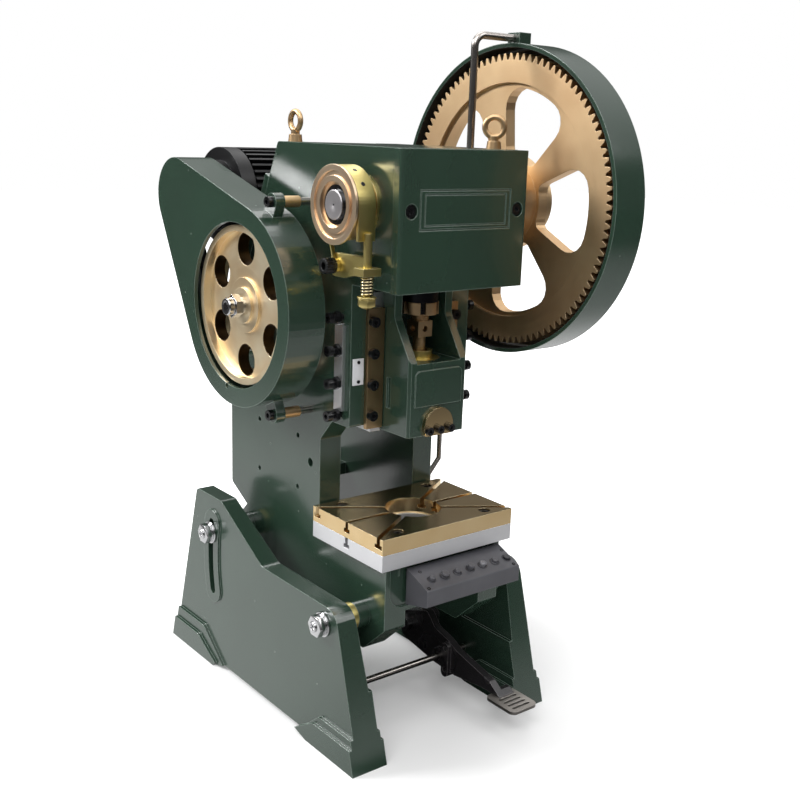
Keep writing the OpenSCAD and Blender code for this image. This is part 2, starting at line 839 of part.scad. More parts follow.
module gib_side_strips() {
    color("#c8c8cc") place() both() difference() {
        side(hw, hw + side_strip_t) polygon([
            [side_strip_y[0], side_strip_z[0]], [side_strip_y[1], side_strip_z[0]],
            [side_strip_y[1], side_strip_z[1]], [side_strip_y[0], side_strip_z[1]]
        ]);
        for (z = side_screw_z)
            rod_x(hw - 1, hw + 3, [mean(side_strip_y), z], screw_shank + hold_fit);
    }
}

module gib_adjusting_screws() {
    nut_top = hw + side_strip_t + 1.6;
    color("#222222") place() both() for (z = side_screw_z)
        to_right(nut_top + 1.4, [mean(side_strip_y), z])
            small_screw(nut_top + 1.4 - inner);
}

module gib_lock_nuts() {
    color("#333333") place() both() for (z = side_screw_z)
        to_right(hw + side_strip_t, [mean(side_strip_y), z])
            hex_nut(4.1, 1.5, screw_shank + hold_fit);
}

// ---------- head fittings ----------

module eye_bolt(turn) {
    ring_at = 7.3;
    cylinder(r1 = 2.6, r2 = 2.3, h = 2.6);
    translate([0, 0, -4.5]) cylinder(r = eye_shank_r, h = 5);
    cylinder(r = 1.6, h = ring_at - 3);
    translate([0, 0, ring_at]) rotate([90, 0, turn]) rotate_extrude()
        translate([3.3, 0]) circle(1);
}

module eye_bolts() {
    color("goldenrod") place() {
        translate([eye_places[0][0], eye_places[0][1], head_top]) eye_bolt(90);
        translate([eye_places[1][0], eye_places[1][1], head_top]) eye_bolt(-43);
    }
}

module gear_guard() {
    lug_w = 6;
    color("#2c4638") place() difference() {
        union() {
            side(ring_x[0], ring_x[1]) guard_loop(ring_t);
            // Lug for the stay
            translate([stay_lug_x[0], -lug_w / 2, crank_z + ring_r + 0.8])
                cube([stay_lug_x[1] - stay_lug_x[0], lug_w, guard_rod_z - crank_z - ring_r + 1.2]);
            side(ring_x[0], ring_x[0] + 3) for (at = ring_post_places) translate(at) circle(3.2);
        }
        side(ring_x[0] - 1, ring_x[1] - 1.2) guard_loop(0);
        side(ring_x[0], ring_x[1] + 1) guard_loop(-guard_lip);
        rod_x(ring_x[0] - 1, stay_lug_x[0] + 4, [0, guard_rod_z], guard_rod_r + hold_fit);
        at_ring_posts() translate([0, 0, ring_x[0] - hw - 1])
            cylinder(r = standoff_spigot_r + hold_fit, h = 5);
    }
}

// Outline round the bull gear and the pinion
module guard_loop(t) {
    translate(crank_at) circle(ring_r + t);
    translate(shaft_at) circle(pinion_tip_r + guard_gap + t);
}

// Bent stay between the head and the top of the gear guard
module gear_guard_rod() {
    bend = 4;
    color("silver") place() {
        translate([guard_rod_x, 0, head_top - 3.5])
            cylinder(r = guard_rod_r, h = guard_rod_z - bend - head_top + 3.5);
        translate([guard_rod_x + bend, 0, guard_rod_z - bend]) rotate([90, 0, 0])
            rotate([0, 0, 90]) rotate_extrude(angle = 90) translate([bend, 0])
                circle(guard_rod_r);
        rod_x(guard_rod_x + bend, stay_lug_x[0] + 3.8, [0, guard_rod_z], guard_rod_r);
    }
}

// Distance pieces of both guards
module guard_standoffs() {
    reach = -hw - ear_x - ear_t;
    color("goldenrod") place() {
        at_ears() difference() {
            union() {
                translate([0, 0, reach - sleeve_l]) cylinder(r = 2, h = sleeve_l);
                translate([0, 0, -3.8]) cylinder(r = standoff_spigot_r, h = reach - sleeve_l + 4.8);
            }
            translate([0, 0, reach - 2.5]) cylinder(r = screw_shank + hold_fit, h = 3);
        }
        at_ring_posts() {
            cylinder(r = 2.3, h = ring_x[0] - hw);
            translate([0, 0, -3.8]) cylinder(r = standoff_spigot_r, h = ring_x[0] - hw + 6.6);
        }
    }
}

module bush(x0, x1, at, r_out, r_in) {
    side(x0, x1) translate(at) ring(r_out, r_in);
    side(x1, x1 + bush_flange_t) translate(at) ring(r_out + 1.4, r_in);
}

module bearing_bushes() {
    color("goldenrod") place() both() {
        bush(inner, hw, crank_at, crank_bush_r, journal_r + run_fit);
        bush(inner, hw, shaft_at, shaft_bush_r, shaft_r + run_fit);
    }
}

// ---------- motor and belt drive ----------

module belt_guard_loop(inset) {
    pulley_loop(shaft_at, fly_guard_r - inset, motor_at, motor_guard_r - inset);
}

module belt_guard() {
    color("#2c4638") place() difference() {
        union() {
            side(guard_x[0], guard_x[1]) belt_guard_loop(0);
            for (a = ear_angles)
                side(ear_x, ear_x + ear_t) translate(shaft_at) rotate(a) {
                    translate([fly_guard_r + ear_reach, 0]) circle(ear_r);
                    translate([fly_guard_r - 1, -ear_r]) square([ear_reach + 1, 2 * ear_r]);
                }
        }
        side(guard_x[0] + guard_wall, guard_x[1] + 1) belt_guard_loop(guard_wall);
        rod_x(guard_x[0] - 1, guard_x[1] + 1, shaft_at, fly_r + 1.1);
        at_ears() translate([0, 0, -guard_x[1] - hw]) cylinder(r = screw_shank + hold_fit, h = 10);
        rod_x(guard_x[0] - 1, guard_x[0] + 3, shaft_at + [7.3, -42] * (fly_guard_r - 6) / 42.6, 1);
    }
}

module motor_bracket() {
    color("#26352d") place() on_slant() difference() {
        translate([-hw, -motor_rise + hold_fit, -21]) cube([frame_w, bracket_t - hold_fit, 42]);
        for (x = [-1, 1], z = [-1, 1]) translate([x * (hw - 4), -motor_rise - 1, z * 16])
            rotate([-90, 0, 0]) cylinder(r = screw_shank + hold_fit, h = bracket_t + 2);
    }
}

module motor_housing() {
    core_r = motor_r - 2.4;
    fins = 30;
    color("#1a1a1c") place() difference() {
        union() {
            rod_x(motor_x[0], motor_x[1], motor_at, core_r);
            for (i = [0 : fins - 1])
                translate([motor_x[0] + 0.6, motor_at[0], motor_at[1]])
                    rotate([lean - 45 + i * 270 / (fins - 1), 0, 0])
                        translate([0, core_r - 1, -0.45])
                            cube([motor_l - 1.2, motor_r - core_r + 1, 0.9]);
            on_slant() translate([motor_x[0] + 4, -motor_rise + bracket_t + hold_fit, -13])
                cube([motor_l - 8, 8, 26]);
        }
        rod_x(motor_x[0] - 1, motor_x[0] + 9, motor_at, motor_shaft_r + 0.4);
    }
}

// Drive-end bell and fan cowl
module motor_end_bells() {
    color("#1a1a1c") place() {
        difference() {
            union() {
                rod_x(motor_x[0] - 6, motor_x[0], motor_at, motor_r);
                rod_x(motor_x[0] - 9, motor_x[0] - 6, motor_at, motor_r - 5);
            }
            rod_x(motor_x[0] - 10, motor_x[0] + 1, motor_at, motor_shaft_r + run_fit);
        }
        rod_x(motor_x[1], motor_x[1] + 7, motor_at, motor_r - 0.6);
        rod_x(motor_x[1] + 7, motor_x[1] + 8.5, motor_at, motor_r - 3);
    }
}

module motor_pulley() {
    color("silver") place() difference() {
        union() {
            rod_x(motor_x[0] - 9 - 13, motor_x[0] + 8, motor_at, motor_shaft_r);
            rod_x(belt_x - belt_w / 2 - 2.2, belt_x + belt_w / 2 + 2.2, motor_at, pulley_r);
        }
        side(belt_x - belt_w / 2 - pass_gap, belt_x + belt_w / 2 + pass_gap) translate(motor_at)
            ring(pulley_r + 1, pulley_r - belt_t - pass_gap);
    }
}

module drive_belt() {
    color("#202020") place() side(belt_x - belt_w / 2, belt_x + belt_w / 2) difference() {
        pulley_loop(shaft_at, fly_r - belt_sink + belt_t, motor_at, pulley_r);
        pulley_loop(shaft_at, fly_r - belt_sink, motor_at, pulley_r - belt_t);
    }
}

module back_shaft() {
    color("silver") place() {
        rod_x(fly_x - 3, gear_x + gear_w + 2, shaft_at, shaft_r);
        side(-hw - 9, -hw - bush_flange_t - 0.1) translate(shaft_at) circle(shaft_r + 1.6);
        side(hw + bush_flange_t + 0.1, gear_x - 0.6) translate(shaft_at) circle(shaft_r + 1.6);
        to_left(fly_x - 0.2, shaft_at) {
            cylinder(r = 4.2, h = 2.8, $fn = 6);
            cylinder(r = 2.6, h = 5.2);
        }
    }
}

module flywheel() {
    hub_r = 10;
    color("#c9a26b") place() difference() {
        union() {
            side(fly_x, fly_x + fly_w) translate(shaft_at) ring(fly_r, fly_r - 2.2);
            rod_x(fly_x + 3, fly_x + fly_w - 2.5, shaft_at, fly_r - 2);
            rod_x(fly_x + 2, fly_x + fly_w, shaft_at, hub_r);
            rod_x(fly_x + 1, fly_x + fly_w + 1.4, shaft_at, hub_r - 3.5);
        }
        for (i = [0 : fly_holes - 1])
            rod_x(fly_x, fly_x + fly_w, shaft_at + polar(fly_r - 8.5, 90 + i * 360 / fly_holes), 6);
        rod_x(fly_x - 1, fly_x + fly_w + 3, shaft_at, shaft_r + hold_fit);
        side(belt_x - belt_w / 2 - pass_gap, belt_x + belt_w / 2 + pass_gap) translate(shaft_at)
            ring(fly_r + 1, fly_r - belt_sink - pass_gap);
    }
}

// ---------- gears and crank ----------

module bull_gear() {
    step_r = gear_tip_r - 10;
    color("#c9a26b") place() translate([0, 0, crank_z]) difference() {
        union() {
            side(gear_x, gear_x + gear_w) rotate(-shaft_angle)
                polygon(gear_outline(gear_m, gear_teeth));
            rod_x(hw + bush_flange_t + 0.4, gear_x + gear_w, [0, 0], gear_boss_r);
        }
        side(gear_x - 1, gear_x + web_recess[0]) ring(step_r, gear_boss_r);
        side(gear_x + gear_w - web_recess[1], gear_x + gear_w + 1) ring(step_r, gear_boss_r);
        for (i = [0 : gear_windows - 1])
            side(gear_x - 1, gear_x + gear_w + 1)
                rotate(110 + i * 360 / gear_windows) gear_window();
        rod_x(hw, gear_x + gear_w + 1, [0, 0], crank_end_r + run_fit);
    }
}

module pinion() {
    color("silver") place() difference() {
        side(gear_x - 0.4, gear_x + gear_w + 0.6) translate(shaft_at)
            rotate(180 - shaft_angle + 180 / pinion_teeth)
                polygon(gear_outline(gear_m, pinion_teeth));
        rod_x(gear_x - 1, gear_x + gear_w + 1, shaft_at, shaft_r + hold_fit);
    }
}

// Built-up crankshaft: two halves, each a web with its journal
module crankshaft() {
    color("silver") place() {
        both() {
            rod_x(web_x, web_x + web_t, crank_at, journal_r + 5);
            rod_x(web_x, hw + bush_flange_t + 0.1, crank_at, journal_r);
        }
        rod_x(hw, gear_x + gear_w + 5.5, crank_at, crank_end_r);
        rod_x(drum_x + 0.4, -hw, crank_at, crank_end_r);
    }
}

module crank_end_cap() {
    x0 = gear_x + gear_w + 0.2;
    color("#c9a26b") place() difference() {
        union() {
            rod_x(x0, x0 + 3.2, crank_at, gear_hub_r);
            rod_x(x0, x0 + 6.4, crank_at, gear_hub_r - 5);
        }
        rod_x(x0 - 1, x0 + 5.4, crank_at, crank_end_r + hold_fit);
    }
}

module brake_drum() {
    color("#c9a26b") place() difference() {
        union() {
            rod_x(drum_x, drum_x + drum_flange_t, crank_at, drum_r);
            rod_x(drum_x, drum_x + drum_w, crank_at, band_r - 0.1);
            rod_x(drum_x, -hw - bush_flange_t - 0.3, crank_at, drum_r - 4);
        }
        side(drum_x - 1, drum_x + 0.6) translate(crank_at) ring(drum_r - 2, drum_r - 3.6);
        rod_x(drum_x - 1, drum_x + 1.5, crank_at, crank_end_r + 2.5);
        side(drum_x - 1, drum_x + 3.2) translate(crank_at) {
            circle(crank_end_r + 1);
            rotate(130) translate([0, -1.2]) square([crank_end_r + 2.2, 2.4]);
        }
        rod_x(drum_x - 1, -hw, crank_at, crank_end_r + hold_fit);
    }
}

// ---------- brake ----------

// Strap over the drum, with a straight tail in front and a link to the anchor behind
module brake_band() {
    away = polar(0.3, link_angle);
    link_start = polar(link_r, link_angle + 2);
    link_end = anchor - crank_at;
    color("goldenrod") place() difference() {
        union() {
            side(band_x[0], band_x[1]) translate(crank_at) {
                polygon(concat(
                    arc([0, 0], band_r + band_t, link_angle, 180, 40),
                    arc([0, 0], band_r, 180, link_angle, 40)
                ));
                translate([-band_r - band_t, band_foot_z - crank_z])
                    square([band_t, crank_z - band_foot_z]);
            }
            side(link_x[0], link_x[1]) {
                translate(crank_at) polygon([
                    link_start + away, link_start - away, link_end - away, link_end + away
                ]);
                translate(anchor) circle(2.3);
            }
        }
        translate([brake_arm_x, rod_y, band_foot_z - 1])
            cylinder(r = brake_rod_r + hold_fit, h = rod_top_z - band_foot_z + 1.2);
        rod_x(link_x[0] - 1, link_x[1] + 1, anchor, anchor_r + hold_fit);
    }
}

// Plate under the anchor screw, with a shelf for the brake rod
module brake_bracket() {
    shelf_x = brake_arm_x - 3.4;
    shelf_y = [rod_y - 2.6, rod_y + 2.8];
    color("goldenrod") place() difference() {
        union() {
            side(wing_x[0], wing_x[1]) polygon(rounded([
                [shelf_y[0], shelf_z, 0], [rod_y + 5, shelf_z, 1],
                [anchor[0] - 4, anchor[1] - 3.8, 2], [anchor[0] + 4, anchor[1] - 3.8, 3],
                [anchor[0] + 4, anchor[1] + 4.2, 3], [rod_y + 5, anchor[1] + 4.2, 1],
                [shelf_y[1], shelf_z + shelf_t, 1], [shelf_y[0], shelf_z + shelf_t, 0]
            ]));
            rod_x(wing_x[1] - eps, -hw - hold_fit, anchor, 3);
            translate([shelf_x, shelf_y[0], shelf_z])
                cube([wing_x[0] + eps - shelf_x, shelf_y[1] - shelf_y[0], shelf_t]);
        }
        translate([brake_arm_x, rod_y, shelf_z - 1]) cylinder(r = brake_rod_r + hold_fit, h = 9);
        rod_x(wing_x[0] - 1, -hw, anchor, anchor_r + hold_fit);
    }
}

module brake_rod() {
    foot_z = shelf_z - spring_l - nut_l + 0.9;
    color("goldenrod") place() translate([brake_arm_x, rod_y, foot_z])
        cylinder(r = brake_rod_r, h = rod_top_z - foot_z);
}

module brake_spring() {
    color("#c8a860") place() translate([brake_arm_x, rod_y, shelf_z - spring_l]) difference() {
        cylinder(r = 2.2, h = spring_l - 0.1);
        translate([0, 0, -1]) cylinder(r = 1.6, h = spring_l + 2);
    }
}

// Blind nut with a washer face under the spring
module brake_nut() {
    color("goldenrod") place() translate([brake_arm_x, rod_y, shelf_z - spring_l - 0.1])
        rotate([180, 0, 0]) difference() {
            union() {
                cylinder(r = 3.2, h = 0.7);
                cylinder(r = 3.3, h = nut_l - 0.8, $fn = 6);
                translate([0, 0, nut_l - 0.8 - eps]) cylinder(r1 = 2.8, r2 = 1.8, h = 0.8);
            }
            translate([0, 0, -1]) cylinder(r = brake_rod_r + hold_fit, h = nut_l);
        }
}

// Large screw that holds the plate and the band's link
module brake_anchor() {
    seat_x = link_x[0] - 0.1;
    color("#222222") place()
        to_left(seat_x, anchor) socket_screw(anchor_r, 2.7, 4.2, 4.5 - seat_x - hw);
}

// ---------- ram and connecting rod ----------

module ram() {
    front_edge = 0.9;
    clamp_back = -2.5;
    color("#2c4638") place() difference() {
        union() {
            translate([0, 0, ram_foot]) linear_extrude(ram_h) intersection() {
                way_hollow(0);
                polygon([
                    [-ram_w / 2 + front_edge, -ram_front], [ram_w / 2 - front_edge, -ram_front],
                    [ram_w / 2, -ram_front + front_edge], [ram_w, -ram_front + front_edge],
                    [ram_w, ram_back], [-ram_w, ram_back],
                    [-ram_w, -ram_front + front_edge], [-ram_w / 2, -ram_front + front_edge]
                ]);
            }
            front(-ram_front - 0.5, -ram_front + eps) polygon(rounded([
                [-10.5, ram_foot + 10.8, 0], [10.5, ram_foot + 10.8, 0],
                [10.5, ram_foot + 23.6, 2], [-10.5, ram_foot + 23.6, 2]
            ]));
        }
        // Window round the adjusting screw
        translate([-window_half_w, -ram_front - 1, window_z])
            cube([2 * window_half_w, ram_front + 11, ram_h]);
        side(-ram_w, ram_w) polygon(rounded([
            [-ram_front - 1, window_z + 0.5, 0], [-ram_front, window_z + 0.5, 0],
            [cheek_top[0], cheek_top[1], 5], [cheek_top[0], ram_top + 1, 0],
            [-ram_front - 1, ram_top + 1, 0]
        ]));
        both() translate([ram_w / 2 - 0.8, -1, ram_foot + 8.6]) cube([1, 2.3, 11]);
        translate([0, 0, ball_z]) sphere(ball_r + run_fit);
        translate([0, 0, ball_z]) cylinder(r = ball_r + run_fit, h = 30);
        translate([0, 0, seat_top]) cylinder(r = 7.5 + hold_fit, h = 30);
        translate([0, 0, ram_foot - 1]) cylinder(r = shank_r, h = shank_depth + 1);
        front(-ram_front - 1, clamp_back) clamp_outline(pass_gap / 3);
        for (x = [-1, 1]) to_front(x * clamp_screw_x, clamp_back, ram_foot + 2.1)
            translate([0, 0, -6]) cylinder(r = clamp_screw_r + hold_fit, h = 7);
    }
}

// Half-round face of the die clamp
module clamp_outline(gap) {
    difference() {
        translate([0, ram_foot + 3.4]) circle(6.5 + gap);
        translate([-10, ram_foot - 12 - gap]) square([20, 12]);
    }
}

module die_clamp() {
    color("#d8b56a") place() difference() {
        front(-ram_front - 1.4, -2.6) clamp_outline(0);
        translate([0, 0, ram_foot - 1]) cylinder(r = shank_r, h = shank_depth + 1);
        for (x = [-1, 0, 1]) to_front(x * clamp_screw_x, -2, ram_foot + 2.1)
            cylinder(r = clamp_screw_r + hold_fit, h = 20);
    }
}

module clamp_screws() {
    color("#222222") place() for (x = [-1, 0, 1])
        to_front(x * clamp_screw_x, -ram_front - 1.4, ram_foot + 2.1)
            socket_screw(clamp_screw_r, 1.5, 1.5, x == 0 ? 4 : 13);
}

module ball_cap() {
    neck_r = screw_neck_r + 0.9;
    color("goldenrod") place() translate([0, 0, seat_top]) difference() {
        union() {
            cylinder(r = 7.5, h = seat_cap_h);
            cylinder(r = 4.8, h = seat_cap_h + 2.7);
        }
        translate([0, 0, -1]) cylinder(r = neck_r, h = 9);
        translate([0, 0, ball_z - seat_top]) sphere(ball_r + run_fit);
        translate([0, 0, -1]) cylinder(r1 = ball_r, r2 = neck_r, h = 2.6);
    }
}

module adjusting_screw() {
    block_z = [crank_z - 46.5, crank_z - 40.8];
    color("goldenrod") place() difference() {
        union() {
            translate([0, 0, ball_z]) sphere(ball_r);
            translate([0, 0, ball_z]) cylinder(r = screw_neck_r, h = block_z[0] - ball_z + 1);
            translate([0, 0, mean(block_z)]) cube([6.3, 6.3, block_z[1] - block_z[0]], center = true);
            translate([0, 0, block_z[1]]) cylinder(r = screw_r, h = 22);
        }
        translate([0, 0, mean(block_z)]) rotate([90, 0, 0]) cylinder(r = 1.1, h = 10, center = true);
        translate([0, 0, mean(block_z)]) rotate([0, 90, 0]) cylinder(r = 1.1, h = 10, center = true);
    }
}

// Castellated nut that locks the screw under the rod
module locking_nut() {
    color("goldenrod") place() translate([0, 0, nut_z]) difference() {
        cylinder(r = 6.5, h = nut_h);
        translate([0, 0, -1]) cylinder(r = screw_r + hold_fit, h = 9);
        for (a = [0 : 60 : 300]) rotate([0, 0, a]) translate([4.6, -1, -1]) cube([4, 2, 9]);
    }
}

module connecting_rod() {
    foot_z = nut_z + nut_h + 0.1;
    big_r = crank_pin_r + 4.5;
    color("#8d8f93") place() difference() {
        union() {
            translate([0, 0, foot_z]) cylinder(r = 6.2, h = pin_z - big_r - foot_z + 3);
            rod_x(-rod_half, rod_half, [0, pin_z], big_r);
        }
        translate([0, 0, foot_z - 1]) cylinder(r = screw_r + hold_fit, h = 18);
        rod_x(-rod_half - 1, rod_half + 1, [0, pin_z], crank_pin_r + hold_fit);
    }
}

module crank_pin() {
    color("silver") place() rod_x(-web_x + pass_gap, web_x - pass_gap, [0, pin_z], crank_pin_r);
}

// ---------- control box ----------

function on_roof(along) = box_roof + [-along * cos(box_slope), -along * sin(box_slope)];

module control_box() {
    nose = on_roof(13.4);
    color("#57575b") place() difference() {
        union() {
            side(box_x[0], box_x[1]) polygon(rounded([
                [box_back, box_top_z, 0], [nose[0], nose[1], 0.6],
                [nose[0] - 0.1, nose[1] - 6, 0.6], [box_back, box_top_z - 13.6, 0]
            ], 4));
            translate([box_x[0] + 5, front_y - 1, box_top_z - 12]) cube([32, pocket_d + 1, 8]);
        }
        for (i = [0 : button_count - 1]) at_button(i)
            translate([0, 0, -button_stem - button_travel - pass_gap])
                cylinder(r = button_r + run_fit, h = button_stem + 3);
    }
}

module at_button(i) {
    at = on_roof(button_along);
    translate([button_x0 + i * button_pitch, at[0], at[1]]) rotate([box_slope, 0, 0]) children();
}

module button(i) {
    color("#4a4a4e") place() at_button(i) {
        translate([0, 0, -button_stem]) cylinder(r = button_r, h = button_stem + button_rise);
        translate([0, 0, button_rise])
            cylinder(r1 = button_r, r2 = button_r - button_edge, h = button_edge);
    }
}

// ---------- pedal and clutch rod ----------

module pedal_shaft() {
    color("silver") place()
        rod_x(-leg_in - 2.4, leg_in + 2.4, [pedal_y, pedal_z], pedal_shaft_r);
}

module pedal_lever() {
    color("#3c3c40") place() difference() {
        union() {
            side(pedal_x[0], pedal_x[1]) polygon(rounded([
                [-4, pedal_z - 5.4, 3], [8.2, pedal_z - 4.8, 3], [clevis_y + 4, pedal_z - 1.2, 3],
                [clevis_y + 4.4, pedal_z + 9.6, 3], [14, pedal_z + 15.4, 2.5],
                [9, pedal_z + 10, 3], [1, pedal_z + 8, 3], [-4.5, pedal_z + 5.4, 2],
                [-24, pedal_z + 0.8, 1], [-30, treadle_z + treadle_t, 0],
                [-20, treadle_z + treadle_t, 1]
            ]));
            side(clevis_x[0], clevis_x[1]) polygon(rounded([
                [14, pedal_z + 2, 2], [clevis_y + 4, pedal_z + 0.5, 3],
                [clevis_y + 4.4, pedal_z + 9.6, 3], [14, pedal_z + 15.4, 2.5]
            ]));
            side(pedal_x[0], treadle_x[1] - 2) polygon([
                [-30, treadle_z + treadle_t], [-25.6, treadle_z + treadle_t],
                [-25.6, treadle_z + treadle_t + 1.6], [-27.6, treadle_z + treadle_t + 1.6]
            ]);
            rod_x(pedal_x[0] - 1.5, pedal_x[1] + 3, [pedal_y, pedal_z], pedal_shaft_r + 2.2);
            // Upright clamp with its two set screws
            side(pedal_x[0] - 1.5, pedal_x[1]) polygon(rounded([
                [-1.4, pedal_z - 7.4, 2], [2.6, pedal_z - 7.4, 2],
                [2.6, pedal_z + 7, 2], [-1.4, pedal_z + 7, 2]
            ]));
        }
        rod_x(pedal_x[0] - 3, clevis_x[1] + 3, [pedal_y, pedal_z], pedal_shaft_r + run_fit);
        rod_x(clevis_x[0] - 1, clevis_x[1] + 1, [clevis_y, clevis_z], 1.5 + hold_fit);
        for (z = [4.6, -4.4]) rod_x(pedal_x[0] - 2, pedal_x[0] + 0.5, [0.6, pedal_z + z], 1);
    }
}

module treadle() {
    slot_l = treadle_w - 4.4;
    color("#b5b5b8") place() difference() {
        translate([mean(treadle_x), mean(treadle_y), treadle_z]) linear_extrude(treadle_t)
            round_square(treadle_w, treadle_y[1] - treadle_y[0], 2.4);
        for (i = [0 : 3]) translate([mean(treadle_x), treadle_y[0] + 2.6 + i * 2.4, treadle_z - 1])
            linear_extrude(treadle_t + 2) round_square(slot_l, 1.1, 0.5);
    }
}

module pedal_screws() {
    color("#222222") place() {
        to_left(clevis_x[0], [clevis_y, clevis_z]) socket_screw(1.5, 3.4, 2.6, 6.2);
        for (z = [4.6, -4.4]) to_left(pedal_x[0] - 1.4, [0.6, pedal_z + z]) difference() {
            translate([0, 0, -1.8]) cylinder(r = 1 - hold_fit, h = 1.8);
            translate([0, 0, -0.8]) cylinder(r = 0.5, h = 2, $fn = 6);
        }
    }
}

// Pull rod: an eye at the pedal, a straight run, a crank outwards and a long run up
module pull_rod() {
    knee = [clevis_z + 62.5, clevis_z + 68.5];
    jog = norm([pull_x[1] - pull_x[0], knee[1] - knee[0]]);
    jog_angle = atan2(pull_x[1] - pull_x[0], knee[1] - knee[0]);
    color("silver") place() translate([0, clevis_y, 0]) {
        difference() {
            union() {
                rod_x(clevis_x[1] + pass_gap, pull_x[0] + 1, [0, clevis_z], 3);
                translate([pull_x[0], 0, clevis_z]) cylinder(r = pull_r, h = knee[0] - clevis_z);
            }
            rod_x(clevis_x[1], pull_x[0] + 2, [0, clevis_z], 1.55);
        }
        translate([pull_x[0], 0, knee[0]]) {
            sphere(pull_r);
            rotate([0, jog_angle, 0]) cylinder(r = pull_r, h = jog);
        }
        translate([pull_x[1], 0, knee[1]]) {
            sphere(pull_r);
            cylinder(r = pull_r, h = pull_top - knee[1]);
        }
    }
}

// ---------- build ----------

left_leg();
right_leg();
leg_bolts();
leg_nuts();
leg_spacers();
pedal_shaft();
frame();
front_cover();
base_plate();
bolster_plate();
socket_screws();
gib_strips();
gib_liners();
gib_side_strips();
gib_adjusting_screws();
gib_lock_nuts();
eye_bolts();
belt_guard();
guard_standoffs();
motor_housing();
motor_end_bells();
motor_bracket();
gear_guard();
gear_guard_rod();
bearing_bushes();
brake_band();
brake_bracket();
brake_rod();
brake_spring();
brake_nut();
brake_anchor();
control_box();
button(0);  // button_1
button(1);  // button_2
button(2);  // button_3
button(3);  // button_4
button(4);  // button_5
button(5);  // button_6
button(6);  // button_7
bull_gear();
crank_end_cap();
crankshaft();
brake_drum();
back_shaft();
flywheel();
pinion();
motor_pulley();
drive_belt();
ram();
ball_cap();
die_clamp();
clamp_screws();
connecting_rod();
crank_pin();
adjusting_screw();
locking_nut();
pedal_lever();
treadle();
pedal_screws();
pull_rod();
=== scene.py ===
"""A scale model of an open-back inclinable crank press: its finishes, fine trim and studio."""
import logging
import math
from dataclasses import dataclass
from enum import Enum
from functools import cache
from typing import ClassVar, Iterable, Sequence

import bmesh
import bpy
from mathutils import Matrix, Vector


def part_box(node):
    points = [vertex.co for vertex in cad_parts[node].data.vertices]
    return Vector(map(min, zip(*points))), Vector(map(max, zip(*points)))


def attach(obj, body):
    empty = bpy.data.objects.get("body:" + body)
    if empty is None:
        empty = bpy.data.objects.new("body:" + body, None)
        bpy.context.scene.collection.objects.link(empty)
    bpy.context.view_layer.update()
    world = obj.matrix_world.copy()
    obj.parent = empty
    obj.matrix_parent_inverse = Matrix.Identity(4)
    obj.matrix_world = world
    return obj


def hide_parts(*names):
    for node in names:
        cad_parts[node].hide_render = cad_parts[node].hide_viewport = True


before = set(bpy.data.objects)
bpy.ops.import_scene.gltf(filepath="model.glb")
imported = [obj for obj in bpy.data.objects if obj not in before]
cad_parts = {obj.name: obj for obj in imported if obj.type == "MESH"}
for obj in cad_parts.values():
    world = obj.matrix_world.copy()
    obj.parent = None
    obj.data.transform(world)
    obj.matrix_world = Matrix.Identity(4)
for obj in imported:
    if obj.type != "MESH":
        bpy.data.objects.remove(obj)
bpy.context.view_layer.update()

Colour = tuple[float, float, float, float]
Point = tuple[float, float, float]
Pair = tuple[float, float]
Profile = tuple[Pair, ...]
Mesh = bmesh.types.BMesh
Node = bpy.types.Node
Socket = bpy.types.NodeSocket
Tree = bpy.types.NodeTree

LOG = logging.getLogger("press")
MM = 0.001
FULL_TURN = 2.0 * math.pi
WELD = 1e-7
SMOOTH_LIMIT = math.radians(35.0)
RIM_SHARE = 0.93
WHITE: Colour = (1.0, 1.0, 1.0, 1.0)


# ---------- small helpers ----------


class Axis(Enum):
    """The way a turned or drilled feature points."""

    X = (1.0, 0.0, 0.0)
    Z = (0.0, 0.0, 1.0)
    LEFT = (-1.0, 0.0, 0.0)
    DOWN = (0.0, 0.0, -1.0)
    FRONT = (0.0, -1.0, 0.0)

    @property
    def vector(self) -> Vector:
        """The direction as a vector."""
        return Vector(self.value)


def srgb(code: str) -> Colour:
    """Turn a hex colour into a linear RGBA tuple.

    Args:
        code: Six hexadecimal digits, as seen on a screen.

    Returns:
        Linear red, green, blue and an alpha of 1.
    """
    levels = [int(code[i : i + 2], 16) / 255.0 for i in (0, 2, 4)]
    linear = [v / 12.92 if v <= 0.04045 else ((v + 0.055) / 1.055) ** 2.4 for v in levels]
    return (linear[0], linear[1], linear[2], 1.0)


def shaded(code: str, share: float) -> Colour:
    """Return a hex colour darkened to a share of its light, as srgb gives it."""
    red, green, blue, _ = srgb(code)
    return (red * share, green * share, blue * share, 1.0)


def span_of(node: str) -> tuple[Vector, Vector]:
    """Return the lowest and highest corner of a CAD node as vectors."""
    low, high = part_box(node)
    return Vector(low), Vector(high)


def centre_of(node: str) -> Vector:
    """Return the middle of a CAD node's box, in metres."""
    low, high = span_of(node)
    return (low + high) / 2.0


def face_of(node: str, way: Axis) -> Vector:
    """Return the middle of the face that looks one way of a CAD node's box."""
    low, high = span_of(node)
    half = (high - low) / 2.0
    return (low + high) / 2.0 + Vector([w * h for w, h in zip(way.value, half)])


def spoke(angle: float) -> Vector:
    """Return the way out from a line along X at an angle in degrees above +Y."""
    return Vector((0.0, math.cos(math.radians(angle)), math.sin(math.radians(angle))))


def along(x: float, axis: Point) -> Vector:
    """Return the point at x on the line along X through a point."""
    return Vector((x, axis[1], axis[2]))


def from_crank(x: float, y: float, z: float) -> Vector:
    """Return a point given in mm across, back from the crank's axis, and up from the floor."""
    return Vector((x * MM, y * MM + centre_of("bull_gear").y, z * MM))


def pointing(direction: Vector) -> Matrix:
    """Return the rotation that turns +Z to a direction."""
    return Axis.Z.vector.rotation_difference(direction.normalized()).to_matrix().to_4x4()


# ---------- shader nodes and groups ----------


